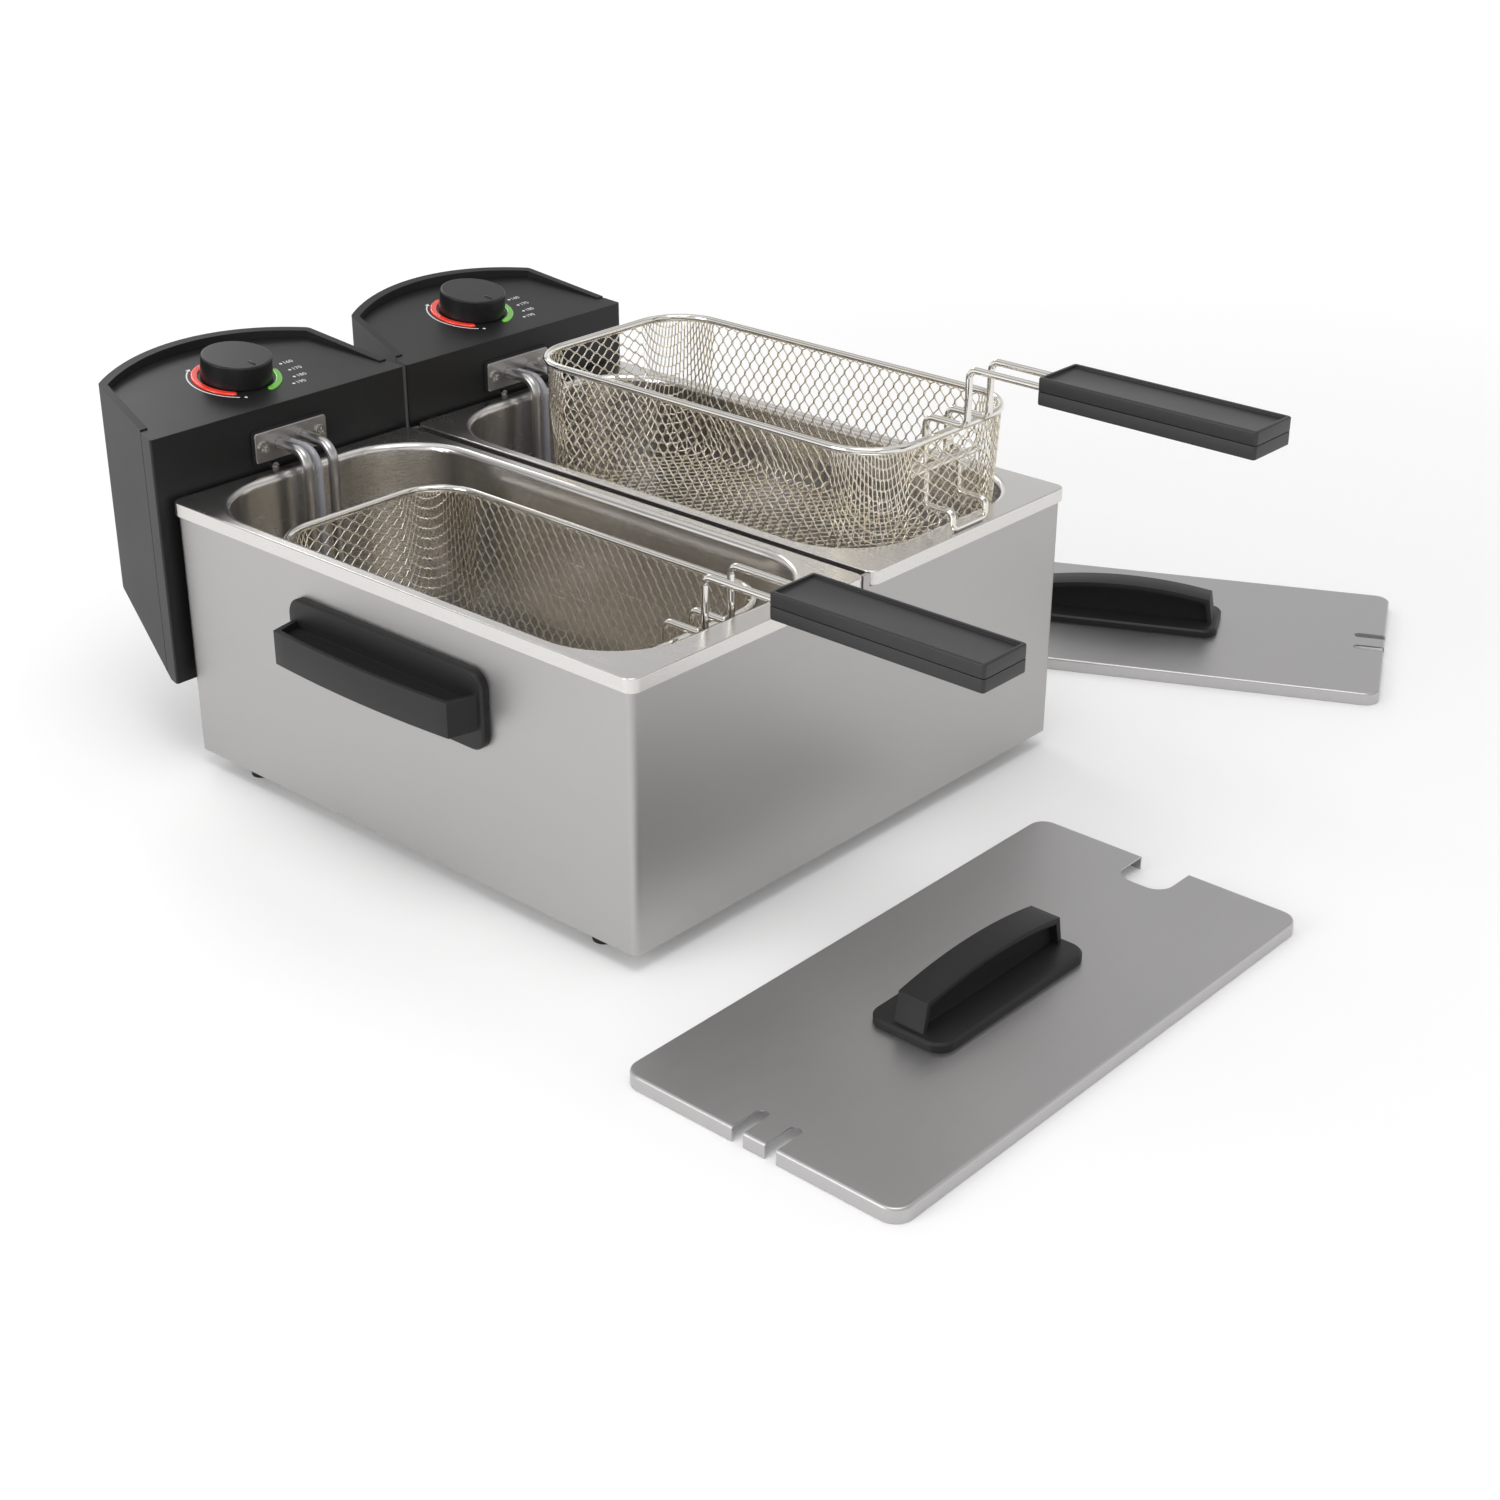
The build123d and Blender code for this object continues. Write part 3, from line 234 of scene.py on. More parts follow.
def finishes(colours):
    """Every finish by its record slot."""
    steel, plastic = tuple(colours.steel), tuple(colours.plastic)
    return {
        "brushed_housing_steel": brushed("housing_steel", steel, 0.42, (26.0, 26.0, 1500.0), 0.02, 0.01),
        "plain_steel": brushed("plain_steel", shade(steel, 0.9), 0.36, (60.0, 900.0, 900.0), 0.05),
        "tank_steel": brushed("tank_steel", tuple(colours.tank), 0.25, (120.0, 30.0, 1300.0), 0.03, 0.006),
        "lid_steel": brushed("lid_steel", tuple(colours.lid), 0.38, (30.0, 1300.0, 60.0), 0.03, 0.01),
        "element_steel": brushed(
            "element_steel", shade(steel, 1.1), 0.3, (1500.0, 1500.0, 900.0), 0.03, 0.004
        ),
        "fastener_steel": plated("fastener_steel", (0.85, 0.84, 0.82), (0.6, 0.58, 0.55), 0.16),
        "chromed_wire": plated("chromed_wire", tuple(colours.chrome), (0.74, 0.69, 0.60), 0.04),
        "basket_wire": plated("basket_wire", tuple(colours.basket), (0.74, 0.60, 0.36), 0.1),
        "handle_plastic": moulded("handle_plastic", plastic, 0.46),
        "grip_plastic": moulded("grip_plastic", shade(plastic, 1.5), 0.4, 2.8, 0.015, 0.5),
        "control_plastic": moulded("control_plastic", shade(plastic, 0.85), 0.42, 2.6, 0.02),
        "knob_plastic": moulded("knob_plastic", shade(plastic, 0.8), 0.36, 3.0, 0.015),
        "gasket_rubber": moulded("gasket_rubber", shade(plastic, 0.9), 0.6),
        "foot_rubber": moulded("foot_rubber", shade(plastic, 1.1), 0.7),
        "switch_plastic": moulded("switch_plastic", (0.62, 0.58, 0.5), 0.5),
        "red_light": lens("red_light", tuple(colours.red), 0.25),
        "green_light": lens("green_light", tuple(colours.green), 0.2),
        "button_red": lens("button_red", (0.55, 0.03, 0.02), 0.0),
        "sleeve_plastic": milky("sleeve_plastic", (0.5, 0.5, 0.55)),
        "dial_print": moulded("dial_print", (0.78, 0.78, 0.78), 0.5, 1.5, 0.005),
    }


MADE = {}


def dress(piece, slot):
    """Gives a piece one finish all over."""
    piece.data.materials.clear()
    piece.data.materials.append(MADE[slot])


# ---------------------------------------------------------------- modelling by hand, in code
def alone(piece):
    """Selects one object and makes it active."""
    bpy.ops.object.select_all(action="DESELECT")
    piece.select_set(True)
    bpy.context.view_layer.objects.active = piece


def edit(piece, mode="VERT"):
    """Goes into edit mode with nothing selected."""
    alone(piece)
    bpy.ops.object.mode_set(mode="EDIT")
    bpy.ops.mesh.select_mode(type=mode)
    bpy.ops.mesh.select_all(action="DESELECT")


def select_where(piece, test):
    """Selects the vertices that pass a test, from edit mode, and stays in edit mode."""
    bpy.ops.object.mode_set(mode="OBJECT")
    for vertex in piece.data.vertices:
        vertex.select = bool(test(vertex.co))
    bpy.ops.object.mode_set(mode="EDIT")


def settle(piece):
    """Leaves edit mode and puts the piece's place into its mesh."""
    if bpy.context.object and bpy.context.object.mode != "OBJECT":
        bpy.ops.object.mode_set(mode="OBJECT")
    alone(piece)
    bpy.ops.object.transform_apply(location=True, rotation=True, scale=True)
    return piece


def modify(piece, kind, **settings):
    """Adds a modifier and applies it."""
    alone(piece)
    modifier = piece.modifiers.new(kind.title(), kind)
    for name, value in settings.items():
        setattr(modifier, name, value)
    bpy.ops.object.modifier_apply(modifier=modifier.name)


def rounded_off(piece, angle=35):
    """Shades a piece smooth except at its sharp edges."""
    alone(piece)
    bpy.ops.object.shade_smooth_by_angle(angle=math.radians(angle))


def copied(piece, name, move=None):
    """A copy of a piece with a mesh of its own, moved by a matrix."""
    twin = piece.copy()
    twin.data = piece.data.copy()
    twin.name = name
    bpy.context.scene.collection.objects.link(twin)
    if move is not None:
        twin.data.transform(move)
    return twin


def joined(pieces, name):
    """Several pieces as one."""
    bpy.ops.object.select_all(action="DESELECT")
    for piece in pieces:
        piece.select_set(True)
    bpy.context.view_layer.objects.active = pieces[0]
    bpy.ops.object.join()
    pieces[0].name = name
    return pieces[0]


def finished(piece, name, slot, body, *nodes):
    """Names a piece, dresses it, hangs it on its body and says which CAD nodes it stands for."""
    piece.name = name
    piece.data.name = name
    dress(piece, slot)
    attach(piece, body)
    if nodes:
        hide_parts(*nodes)
    return piece


def add_cylinder(radius, depth, centre, segments=24):
    """A cylinder along Z, deselected objects first."""
    bpy.ops.object.select_all(action="DESELECT")
    bpy.ops.mesh.primitive_cylinder_add(vertices=segments, radius=radius, depth=depth, location=centre)
    return settle(bpy.context.object)


def add_box(size, centre):
    """A box with its place in its mesh."""
    bpy.ops.object.select_all(action="DESELECT")
    bpy.ops.mesh.primitive_cube_add(size=1.0, location=centre, scale=size)
    return settle(bpy.context.object)


def ring_part(start, end, inner, outer, top, steps=32):
    """A flat arc-shaped bar round the origin, from below the surface to its top."""
    bpy.ops.object.select_all(action="DESELECT")
    bpy.ops.mesh.primitive_plane_add(size=1.0)
    bar = bpy.context.object
    edit(bar)
    select_where(bar, lambda co: co.y > 0)
    bpy.ops.mesh.delete(type="VERT")
    bpy.ops.object.mode_set(mode="OBJECT")
    for vertex, radius in zip(bar.data.vertices, (inner, outer)):
        vertex.co = (radius, 0, -top)
    bpy.ops.object.mode_set(mode="EDIT")
    bpy.ops.mesh.select_all(action="SELECT")
    bpy.ops.mesh.spin(steps=steps, angle=math.radians(end - start), center=(0, 0, 0), axis=(0, 0, -1))
    bpy.ops.mesh.select_all(action="SELECT")
    bpy.ops.mesh.extrude_region_move(TRANSFORM_OT_translate={"value": (0, 0, 2 * top)})
    bpy.ops.mesh.select_all(action="SELECT")
    bpy.ops.mesh.normals_make_consistent(inside=False)
    bpy.ops.object.mode_set(mode="OBJECT")
    bar.data.transform(Matrix.Rotation(math.radians(start), 4, "Z"))
    return bar


# ---------------------------------------------------------------- sizes and colours a user would change
def length(name, about, value):
    return FloatProperty(name=name, description=about, default=value * MM, unit="LENGTH", precision=5)


def slant(name, about, degrees):
    """A setting that is an angle, given in degrees."""
    return FloatProperty(name=name, description=about, default=math.radians(degrees), subtype="ANGLE")


def tint(name, about, value):
    return FloatVectorProperty(name=name, description=about, default=value, subtype="COLOR", min=0.0, max=1.0)


class FryerMeshSettings(PropertyGroup):
    """The baskets' wire mesh."""

    cell_long: length("Cell length", "Cell across the basket, along its strands", 11.5)
    cell_short: length("Cell width", "Cell along the basket", 7.6)
    twist: length("Twist", "Length over which two strands run side by side", 2.6)
    wire_radius: length("Strand radius", "Radius of one strand", 0.43)
    floor_round: length("Floor rounding", "Radius between the floor and the walls", 9.0)
    corner: length("Corner", "Corner radius at the rim", 32.0)
    taper: slant("Taper", "Lean of the walls", 2.6)


class FryerPrintSettings(PropertyGroup):
    """The print round the dials, and the knobs' marks."""

    line_radius: length("Line radius", "Radius of the printed sweep", 29.2)
    line_width: length("Line width", "Width of the printed sweep", 0.9)
    dot_radius: length("Dot", "Radius of a printed dot", 1.0)
    scale_radius: length("Scale radius", "Radius of the row of dots", 34.2)
    figure_height: length("Figures", "Height of the printed figures", 4.8)
    rise: length("Print rise", "Thickness of the print over the panel", 0.05)


class FryerColours(PropertyGroup):
    """The finishes' colours."""

    steel: tint("Housing steel", "Sheet of the housing", (0.47, 0.46, 0.455))
    tank: tint("Tank steel", "Drawn sheet of the tanks", (0.72, 0.70, 0.68))
    lid: tint("Lid steel", "Sheet of the lids", (0.53, 0.52, 0.52))
    chrome: tint("Chrome", "Rims, frames and handle wires", (0.82, 0.81, 0.79))
    basket: tint("Basket wire", "Mesh strands", (0.86, 0.84, 0.79))
    plastic: tint("Plastic", "Handles, covers and knobs", (0.012, 0.012, 0.013))
    red: tint("Red light", "Light guide left of the knob", (0.80, 0.035, 0.015))
    green: tint("Green light", "Light guide right of the knob", (0.13, 0.48, 0.03))
    floor: tint("Floor", "The surface it stands on", (0.93, 0.93, 0.93))


class FryerStageSettings(PropertyGroup):
    """The camera and the light."""

    azimuth: slant("Azimuth", "Way round the fryer", -48.57)
    elevation: slant("Elevation", "Height over the horizon", 26.45)
    roll: slant("Roll", "Turn about the line of sight", 0.26)
    distance: FloatProperty(name="Distance", description="Camera to its target", default=1.2353, unit="LENGTH")
    target: FloatVectorProperty(
        name="Target",
        description="Point in the middle of the view",
        default=(-0.0984, -0.1855, 0.1),
        subtype="XYZ",
    )
    lens: FloatProperty(name="Lens", description="Focal length on a 36 mm frame", default=57.52, unit="CAMERA")
    sky: FloatProperty(name="Sky", description="Strength of the light all round", default=1.0)


# ---------------------------------------------------------------- finishes of the CAD nodes
class FRYER_OT_finishes(Operator):
    """Make every finish and dress the CAD nodes in them"""

    bl_idname = "fryer.finishes"
    bl_label = "Finishes"

    def execute(self, context):
        MADE.update(finishes(context.scene.fryer_colours))
        for node, piece in frame["nodes"].items():
            dress(piece, SLOT_OF[node])
        return {"FINISHED"}


class FRYER_OT_moulded_parts(Operator):
    """Round the edges of the moulded handles and grips"""

    bl_idname = "fryer.moulded_parts"
    bl_label = "Moulded parts"

    edges = {"side_handle": 0.7, "lid_handle": 0.7, "handle_grip_lower": 0.5, "handle_grip_upper": 0.5}

    def execute(self, context):
        for node in sorted(frame["nodes"]):
            stem = node.rsplit("_", 1)[0]
            if stem not in self.edges:
                continue
            piece = bpy.data.objects.new(f"{node}_moulded", frame["nodes"][node].data.copy())
            context.scene.collection.objects.link(piece)
            edit(piece)
            bpy.ops.mesh.select_all(action="SELECT")
            bpy.ops.mesh.remove_doubles(threshold=0.002 * MM)
            bpy.ops.mesh.dissolve_limited(angle_limit=math.radians(0.8))
            settle(piece)
            width = self.edges[stem] * MM
            limits = {"limit_method": "ANGLE", "angle_limit": math.radians(28)}
            modify(piece, "BEVEL", width=width, segments=3, use_clamp_overlap=True, **limits)
            rounded_off(piece, 30)
            finished(piece, f"{node}_moulded", SLOT_OF[node], BODY_OF[node], node)
            if stem.startswith("handle_grip"):
                dress(piece, "grip_plastic")
        return {"FINISHED"}


# ---------------------------------------------------------------- baskets
class Basket:
    """How a flat sheet of mesh is pressed into a basket: a floor, a rounded foot and leaning walls."""

    def __init__(self, node, settings):
        low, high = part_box(node)
        inset = settings.wire_radius
        self.centre = (low + high) / 2
        self.floor = low.z + inset
        self.height = high.z - self.floor
        self.radius = settings.floor_round
        self.lean = settings.taper
        drop = self.height * math.tan(self.lean)
        size = (high - low) / 2
        foot = self.radius * (1 - math.tan(self.lean / 2)) if self.lean else self.radius
        self.half = (size.x - inset - drop - foot, size.y - inset - drop - foot)
        self.corner = max(4 * MM, settings.corner - drop - foot)
        self.turn = math.pi / 2 - self.lean
        self.bend = self.radius * self.turn
        rise = self.radius * (1 - math.cos(self.turn))
        self.reach = self.bend + (self.height - rise) / math.cos(self.lean)

    def beyond(self, u, v):
        """The nearest point of the floor's outline, the way out from it, and how far out the point is."""
        inner = (self.half[0] - self.corner, self.half[1] - self.corner)
        su, sv = math.copysign(1, u), math.copysign(1, v)
        qu, qv = abs(u) - inner[0], abs(v) - inner[1]
        if qu > 0 and qv > 0:
            span = math.hypot(qu, qv)
            nu, nv = su * qu / span, sv * qv / span
            nearest = (su * inner[0] + nu * self.corner, sv * inner[1] + nv * self.corner)
            return nearest, (nu, nv), span - self.corner
        if abs(u) - self.half[0] > abs(v) - self.half[1]:
            return (su * self.half[0], v), (su, 0), abs(u) - self.half[0]
        return (u, sv * self.half[1]), (0, sv), abs(v) - self.half[1]

    def pressed(self, u, v):
        """Where a point of the flat sheet ends up."""
        nearest, way, far = self.beyond(u, v)
        if far <= 0:
            return Vector((self.centre.x + u, self.centre.y + v, self.floor))
        far = min(far, self.reach)
        turn = min(far / self.radius, self.turn)
        out = self.radius * math.sin(turn)
        up = self.radius * (1 - math.cos(turn))
        straight = max(0.0, far - self.bend)
        out += straight * math.sin(self.lean)
        up += straight * math.cos(self.lean)
        return Vector(
            (
                self.centre.x + nearest[0] + way[0] * out,
                self.centre.y + nearest[1] + way[1] * out,
                self.floor + up,
            )
        )


class FRYER_OT_basket_mesh(Operator):
    """Press a sheet of twisted wire mesh into each basket"""

    bl_idname = "fryer.basket_mesh"
    bl_label = "Basket mesh"

    def strand(self, settings, reach):
        """One zigzag strand along X, from -reach to reach, as a chain of edges."""
        bpy.ops.object.select_all(action="DESELECT")
        bpy.ops.mesh.primitive_plane_add(size=MM)
        chain = bpy.context.object
        edit(chain)
        bpy.ops.mesh.select_all(action="SELECT")
        bpy.ops.mesh.merge(type="CENTER")
        half_cell = settings.cell_long / 2
        wave = settings.cell_short / 4 - 0.9 * settings.wire_radius
        count = 2 * math.ceil(reach / half_cell / 2) + 1
        spot = Vector((-count * half_cell / 2, -wave, 0))
        bpy.ops.transform.translate(value=spot)
        side = -1
        for _ in range(count):
            bpy.ops.mesh.extrude_region_move(TRANSFORM_OT_translate={"value": (settings.twist, 0, 0)})
            side = -side
            across = (half_cell - settings.twist, side * 2 * wave, 0)
            bpy.ops.mesh.extrude_region_move(TRANSFORM_OT_translate={"value": across})
        bpy.ops.object.mode_set(mode="OBJECT")
        return chain

    def execute(self, context):
        settings = context.scene.fryer_mesh
        press = Basket("basket_mesh_left", settings)
        half_u = press.half[0] + press.reach
        half_v = press.half[1] + press.reach
        sheet = self.strand(settings, 2 * half_u)
        twin = copied(sheet, "strand_mirrored", Matrix.Scale(-1, 4, (0, 1, 0)))
        twin.data.transform(Matrix.Translation((0, settings.cell_short / 2, 0)))
        sheet = joined([sheet, twin], "mesh_sheet")
        rows = math.ceil(2 * half_v / settings.cell_short)
        offset = (0, settings.cell_short, 0)
        spacing = {"use_constant_offset": True, "constant_offset_displace": offset}
        modify(sheet, "ARRAY", count=rows, use_relative_offset=False, **spacing)
        sheet.data.transform(Matrix.Translation((0, -(rows - 0.5) * settings.cell_short / 2, 0)))
        slack = settings.cell_long / 2
        edit(sheet)
        select_where(sheet, lambda co: press.beyond(co.x, co.y)[2] > press.reach + slack)
        bpy.ops.mesh.delete(type="VERT")
        bpy.ops.object.mode_set(mode="OBJECT")
        for vertex in sheet.data.vertices:
            vertex.co = press.pressed(vertex.co.x, vertex.co.y)
        alone(sheet)
        bpy.ops.object.convert(target="CURVE")
        wires = bpy.context.object
        wires.data.bevel_depth = settings.wire_radius
        wires.data.bevel_resolution = 1
        wires.data.use_fill_caps = True
        bpy.ops.object.convert(target="MESH")
        wires = bpy.context.object
        rounded_off(wires, 80)
        low_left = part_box("basket_mesh_left")[0]
        low_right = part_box("basket_mesh_right")[0]
        twin = copied(wires, "basket_wire_mesh_right", Matrix.Translation(low_right - low_left))
        finished(wires, "basket_wire_mesh_left", "basket_wire", "basket_left", "basket_mesh_left")
        finished(twin, "basket_wire_mesh_right", "basket_wire", "basket_right", "basket_mesh_right")
        return {"FINISHED"}


# ---------------------------------------------------------------- dials
def panel_matrix(side):
    """The control panel's surface: origin at the knob's centre, X to the right, Z out of the panel."""
    joint = JOINTS[f"knob_turn_{side}"]
    out = Vector(joint["axis"]).normalized()
    right = Vector((1, 0, 0))
    up = out.cross(right)
    turned = Matrix((right, up, out)).transposed().to_4x4()
    return Matrix.Translation(Vector(joint["pos_m"])) @ turned


class FRYER_OT_dial_print(Operator):
    """Print the sweep, the dots and the figures round each knob"""

    bl_idname = "fryer.dial_print"
    bl_label = "Dial print"

    sweep_start, sweep_end, sweep_dot = 128.0, 236.0, 243.0
    scale_angles = {"160": 2.0, "170": -15.0, "180": -32.0, "190": -49.0}

    def arrow_head(self, settings):
        """A small triangle at the end of the sweep."""
        tip = add_cylinder(2.0 * MM, 2 * settings.rise, (0, 0, 0), 3)
        tip.data.transform(Matrix.Rotation(math.radians(self.sweep_start - 180), 4, "Z"))
        a = math.radians(self.sweep_start - 1)
        place = (settings.line_radius * math.cos(a), settings.line_radius * math.sin(a), 0)
        tip.data.transform(Matrix.Translation(place))
        return tip

    def dot(self, settings, radius, angle):
        a = math.radians(angle)
        centre = (radius * math.cos(a), radius * math.sin(a), 0)
        return add_cylinder(settings.dot_radius, 2 * settings.rise, centre, 16)

    def figures(self, settings, text, angle):
        """Figures to the right of their dot, as a thin raised mesh."""
        a = math.radians(angle)
        x = settings.scale_radius * math.cos(a) + 1.8 * settings.dot_radius
        y = settings.scale_radius * math.sin(a)
        bpy.ops.object.select_all(action="DESELECT")
        bpy.ops.object.text_add(location=(x, y, 0))
        word = bpy.context.object
        word.data.body = text
        word.data.size = settings.figure_height
        word.data.align_y = "CENTER"
        word.data.extrude = settings.rise
        word.data.resolution_u = 4
        bpy.ops.object.convert(target="MESH")
        return settle(bpy.context.object)

    def execute(self, context):
        settings = context.scene.fryer_print
        half = settings.line_width / 2
        inner, outer = settings.line_radius - half, settings.line_radius + half
        pieces = [ring_part(self.sweep_start, self.sweep_end, inner, outer, settings.rise)]
        pieces.append(self.arrow_head(settings))
        pieces.append(self.dot(settings, settings.line_radius, self.sweep_dot))
        for text, angle in self.scale_angles.items():
            pieces.append(self.dot(settings, settings.scale_radius, angle))
            pieces.append(self.figures(settings, text, angle))
        flat = joined(pieces, "dial_print")
        for side in SIDES:
            piece = copied(flat, f"dial_print_{side}", panel_matrix(side))
            finished(piece, f"dial_print_{side}", "dial_print", f"control_unit_{side}")
        bpy.data.objects.remove(flat)
        return {"FINISHED"}


class FRYER_OT_knob_marks(Operator):
    """Raise a pointer on each knob"""

    bl_idname = "fryer.knob_marks"
    bl_label = "Knob marks"

    def execute(self, context):
        for side in SIDES:
            surface = panel_matrix(side)
            low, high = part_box(f"knob_{side}")
            top = max((surface.inverted() @ v.co).z for v in frame["nodes"][f"knob_{side}"].data.vertices)
            mark = add_box((1.5 * MM, 6.5 * MM, 0.9 * MM), (0, -14.6 * MM, top))
            modify(mark, "BEVEL", width=0.35 * MM, segments=2)
            mark.data.transform(surface)
            rounded_off(mark)
            finished(mark, f"knob_pointer_{side}", "knob_plastic", f"knob_{side}")
        return {"FINISHED"}


# ---------------------------------------------------------------- screws
class FRYER_OT_plate_screws(Operator):
    """Cut cross recesses in the screws that hold the heating tubes' plates"""

    bl_idname = "fryer.plate_screws"
    bl_label = "Plate screws"

    # head radius, head height and shank length
    large_size = (3.6 * MM, 1.4 * MM, 9.0 * MM)
    small_size = (2.5 * MM, 2.2 * MM, 7.0 * MM)
    large_turns = (25, 70)  # degrees, so that no two recesses line up
    small_turn = 40
    small_aside = 13.0 * MM  # small screw's centre to the left of the plate's
    small_behind = 1.0 * MM  # plate's rear face to the small screw's seat
    recess_length, recess_width, recess_middle = 1.25, 0.34, 0.85  # shares of the head's radius and height
    shank_share = 0.4
    seat_overlap = 0.1 * MM

    def screw(self, radius, height, shank):
        """A pan-head screw along Z, its head standing on the plane z = 0."""
        head = add_cylinder(radius, height, (0, 0, height / 2), 32)
        edit(head, "EDGE")
        select_where(head, lambda co: co.z > 0.9 * height)
        bpy.ops.mesh.bevel(offset=0.5 * height, segments=4)
        settle(head)
        long, short = self.recess_length * radius, self.recess_width * radius
        for along, across in ((long, short), (short, long)):
            arm = add_box((along, across, height), (0, 0, self.recess_middle * height))
            modify(head, "BOOLEAN", operation="DIFFERENCE", object=arm, solver="EXACT")
            bpy.data.objects.remove(arm)
        shank_middle = (0, 0, -shank / 2 + self.seat_overlap)
        body = add_cylinder(self.shank_share * radius, shank, shank_middle, 16)
        screw = joined([head, body], "screw")
        rounded_off(screw, 40)
        return screw

    def execute(self, context):
        large, small = self.screw(*self.large_size), self.screw(*self.small_size)
        large_radius, small_radius = self.large_size[0], self.small_size[0]
        to_front = Matrix.Rotation(math.radians(90), 4, "X")
        for side in SIDES:
            plate_low, plate_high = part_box(f"element_plate_{side}")
            middle = (plate_low + plate_high) / 2
            low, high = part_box(f"plate_screws_{side}")
            small_x, small_y = middle.x - self.small_aside, plate_high.y + self.small_behind
            spots = [
                (large, low.x + large_radius, plate_low.y, middle.z, self.large_turns[0]),
                (large, high.x - large_radius, plate_low.y, middle.z, self.large_turns[1]),
                (small, small_x, small_y, low.z + small_radius, self.small_turn),
            ]
            copies = []
            for pattern, x, y, z, turn in spots:
                spin = Matrix.Rotation(math.radians(turn), 4, "Z")
                place = Matrix.Translation((x, y, z)) @ to_front @ spin
                copies.append(copied(pattern, "screw_copy", place))
            piece = joined(copies, f"cross_head_screws_{side}")
            node = f"plate_screws_{side}"
            finished(piece, f"cross_head_screws_{side}", SLOT_OF[node], BODY_OF[node], node)
        for pattern in (large, small):
            bpy.data.objects.remove(pattern)
        return {"FINISHED"}


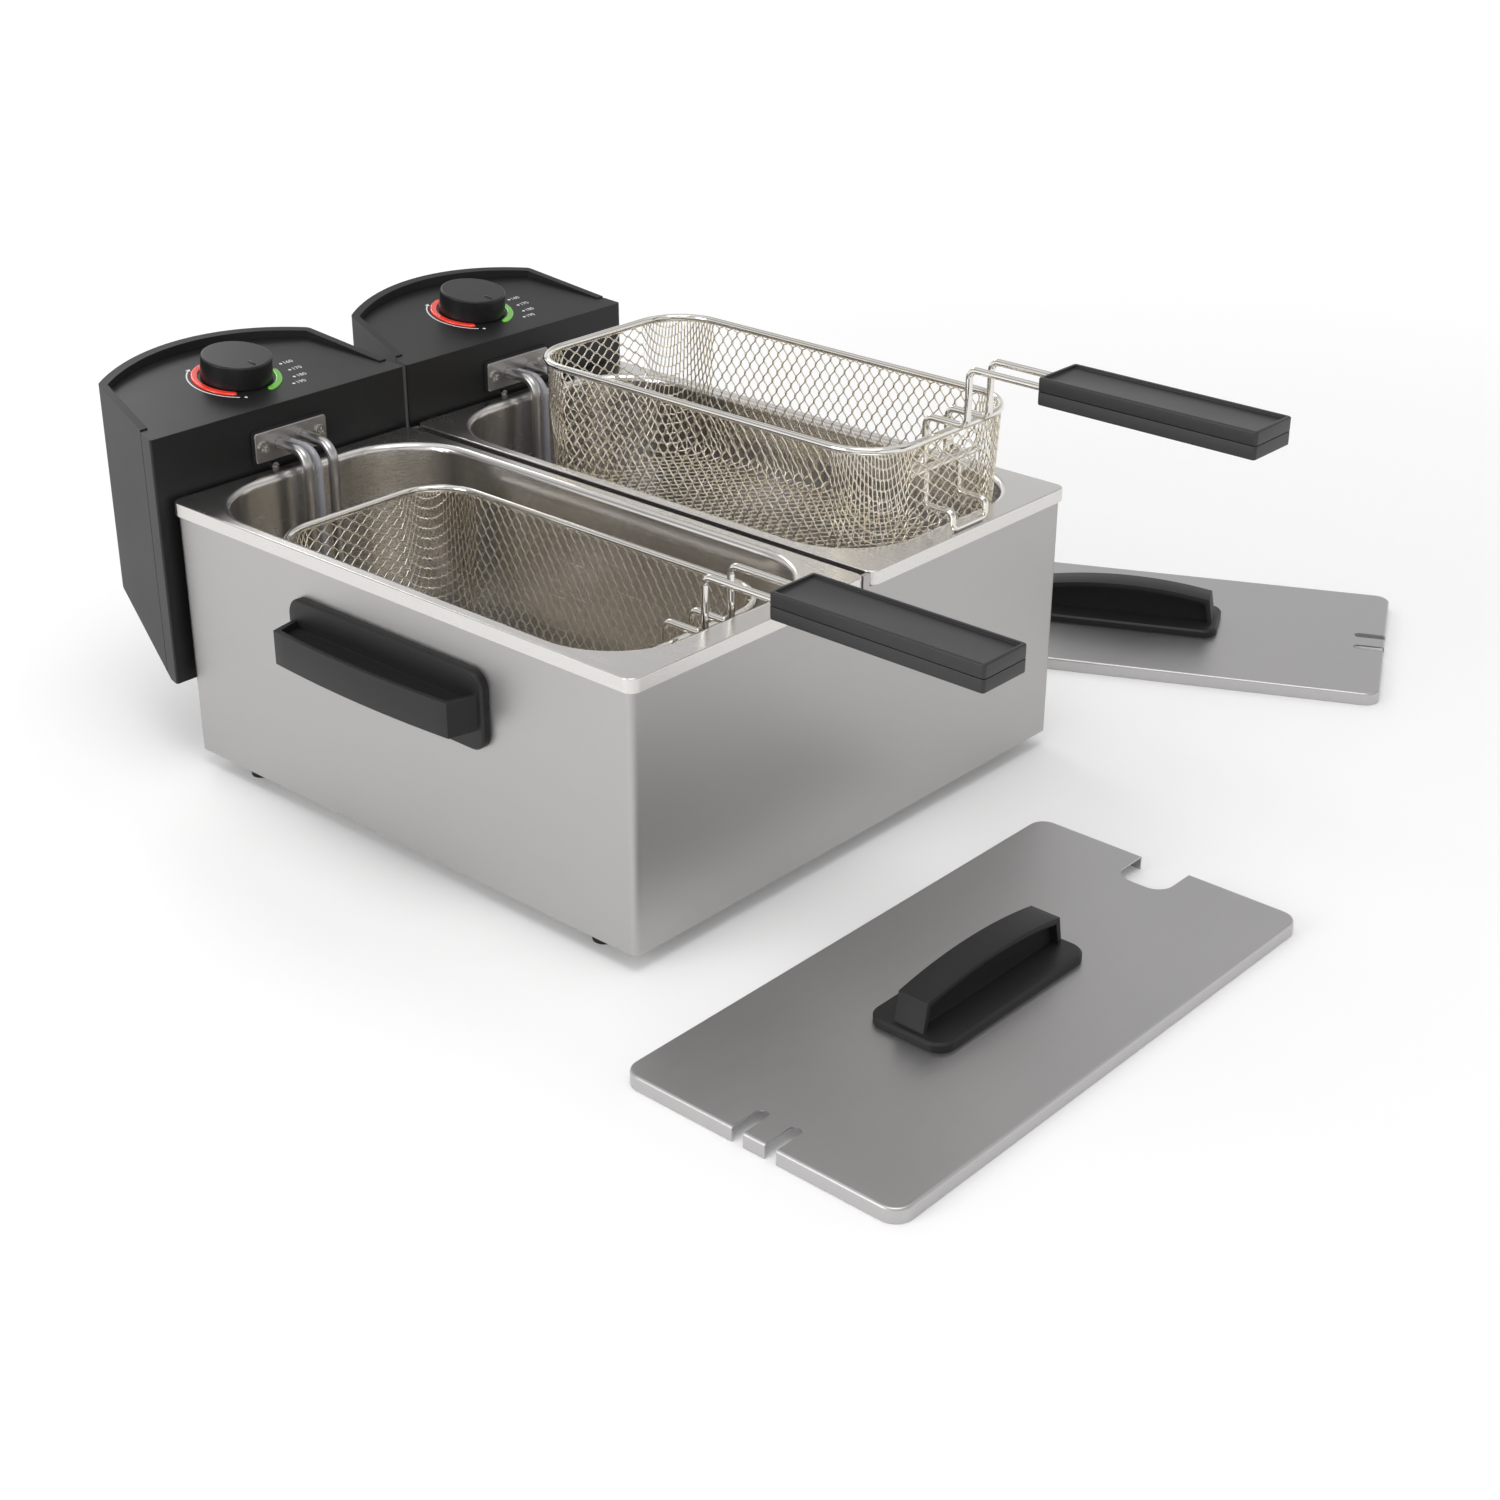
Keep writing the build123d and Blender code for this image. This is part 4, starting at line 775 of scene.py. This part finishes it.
# ---------------------------------------------------------------- stage
class FRYER_OT_stage(Operator):
    """Lay the floor, hang the lights and set up the camera"""

    bl_idname = "fryer.stage"
    bl_label = "Stage"

    lamps = (
        ("soft_box_top", (-0.4, -0.5, 2.2), (0.0, -0.1, 0.0), 1.2, 12.0),
        ("soft_box_left", (-2.4, 0.6, 1.1), (0.0, 0.0, 0.1), 1.2, 18.0),
        ("soft_box_rear", (0.9, 2.2, 1.6), (0.0, 0.0, 0.1), 0.8, 8.0),
    )

    # places on a scale from 0, straight down or left, to 1, straight up or right, and the light's grey there
    sky_bands = ((0.6, 1.0), (0.69, 0.62), (0.8, 0.46), (0.88, 0.8))
    flags = ((0.2, 1.0), (0.24, 0.25), (0.29, 1.0), (0.6, 1.0), (0.64, 0.2), (0.7, 1.0))
    glow = (0.08, 0.45)  # painted light: glow of the floor itself, faint near the fryer and stronger far from it
    glow_reach = (0.5, 2.6)  # metres from the fryer's middle where the first ends and the second begins
    floor_size = 14.0
    floor_drop = 0.2 * MM  # keeps the floor clear of the feet

    def floor(self, colour):
        bpy.ops.object.select_all(action="DESELECT")
        bpy.ops.mesh.primitive_plane_add(size=self.floor_size, location=(0, 0, -self.floor_drop))
        ground = settle(bpy.context.object)
        ground.name = "stage_floor"
        finish = Finish("stage_floor")
        cloud = finish.noise((1.5, 1.5, 1.5))
        tone = finish.between(shade(colour, 0.995), colour, cloud)
        finish.set(base_color=tone, roughness=0.5 + cloud * 0.05)
        # painted light: the floor gives off a glow of its own, faint near the fryer and stronger further away
        measure = {"operation": "LENGTH"}
        far = finish.node("ShaderNodeVectorMath", measure, {0: finish.place}, output="Value")
        reach = {"Value": far, "From Min": self.glow_reach[0], "From Max": self.glow_reach[1]}
        share = finish.node("ShaderNodeMapRange", {"interpolation_type": "SMOOTHSTEP"}, reach)
        near_glow, far_glow = ((grey,) * 3 for grey in self.glow)
        finish.set(emission_color=finish.between(near_glow, far_glow, share))
        finish.shader.inputs["Emission Strength"].default_value = 1.0
        finish.shader.inputs["Specular IOR Level"].default_value = 0.2
        ground.data.materials.append(finish.material)

    def sky(self, strength):
        """White light below and at the horizon, a dimmer band above it, and two dark strips left and right."""
        world = bpy.data.worlds.new("studio")
        bpy.context.scene.world = world
        world.use_nodes = True
        tree = world.node_tree
        place = tree.nodes.new("ShaderNodeTexCoord").outputs["Generated"]
        split = tree.nodes.new("ShaderNodeSeparateXYZ")
        tree.links.new(place, split.inputs[0])
        light = 1.0
        for axis, bands in (("Z", self.sky_bands), ("X", self.flags)):
            node = tree.nodes.new("ShaderNodeValToRGB")
            ramp = node.color_ramp
            ramp.elements[0].color = ramp.elements[1].color = (1, 1, 1, 1)
            for position, grey in bands:
                ramp.elements.new(position).color = (grey, grey, grey, 1)
            tree.links.new((Signal(tree, split.outputs[axis]) * 0.5 + 0.5).socket, node.inputs[0])
            light = Signal(tree, node.outputs[0]) * light
        background = tree.nodes["Background"]
        tree.links.new(light.socket, background.inputs["Color"])
        background.inputs["Strength"].default_value = strength

    def lamp(self, name, place, aim, size, power):
        light = bpy.data.lights.new(name, "AREA")
        light.shape = "SQUARE"
        light.size = size
        light.energy = power
        lamp = bpy.data.objects.new(name, light)
        bpy.context.scene.collection.objects.link(lamp)
        lamp.location = place
        way = Vector(aim) - Vector(place)
        lamp.rotation_euler = way.to_track_quat("-Z", "Y").to_euler()

    def camera(self, settings):
        data = bpy.data.cameras.new("camera")
        data.lens = settings.lens
        data.sensor_width = 36.0
        data.clip_start = 0.02
        camera = bpy.data.objects.new("camera", data)
        bpy.context.scene.collection.objects.link(camera)
        a, e = settings.azimuth, settings.elevation
        back = Vector((math.sin(a) * math.cos(e), -math.cos(a) * math.cos(e), math.sin(e)))
        camera.location = Vector(settings.target) + back * settings.distance
        turn = back.to_track_quat("Z", "Y").to_matrix().to_4x4()
        camera.rotation_euler = (turn @ Matrix.Rotation(settings.roll, 4, "Z")).to_euler()
        bpy.context.scene.camera = camera

    def execute(self, context):
        scene = context.scene
        self.floor(tuple(scene.fryer_colours.floor))
        self.sky(scene.fryer_stage.sky)
        for lamp in self.lamps:
            self.lamp(*lamp)
        self.camera(scene.fryer_stage)
        scene.view_settings.view_transform = "Standard"
        return {"FINISHED"}


# ---------------------------------------------------------------- add-on
OPERATORS = (
    FRYER_OT_finishes,
    FRYER_OT_moulded_parts,
    FRYER_OT_basket_mesh,
    FRYER_OT_dial_print,
    FRYER_OT_knob_marks,
    FRYER_OT_plate_screws,
    FRYER_OT_stage,
)
SETTINGS = {
    "fryer_mesh": FryerMeshSettings,
    "fryer_print": FryerPrintSettings,
    "fryer_colours": FryerColours,
    "fryer_stage": FryerStageSettings,
}


class FRYER_PT_panel(Panel):
    """The fryer's operators and settings"""

    bl_idname = "FRYER_PT_panel"
    bl_label = "Deep fryer"
    bl_space_type = "VIEW_3D"
    bl_region_type = "UI"
    bl_category = "Fryer"

    def draw(self, context):
        for operator in OPERATORS:
            self.layout.operator(operator.bl_idname)
        for name, group in SETTINGS.items():
            box = self.layout.box()
            for key in group.__annotations__:
                box.prop(getattr(context.scene, name), key)


def register():
    """Registers the classes and hangs the settings on the scene."""
    for cls in (*SETTINGS.values(), *OPERATORS, FRYER_PT_panel):
        bpy.utils.register_class(cls)
    for name, group in SETTINGS.items():
        setattr(bpy.types.Scene, name, PointerProperty(type=group))


def unregister():
    """Takes away what register added."""
    for name in SETTINGS:
        delattr(bpy.types.Scene, name)
    for cls in reversed((*SETTINGS.values(), *OPERATORS, FRYER_PT_panel)):
        bpy.utils.unregister_class(cls)


def main():
    """Makes everything in order."""
    register()
    for operator in OPERATORS:
        group, name = operator.bl_idname.split(".")
        getattr(getattr(bpy.ops, group), name)()


if __name__ == "__main__":
    main()
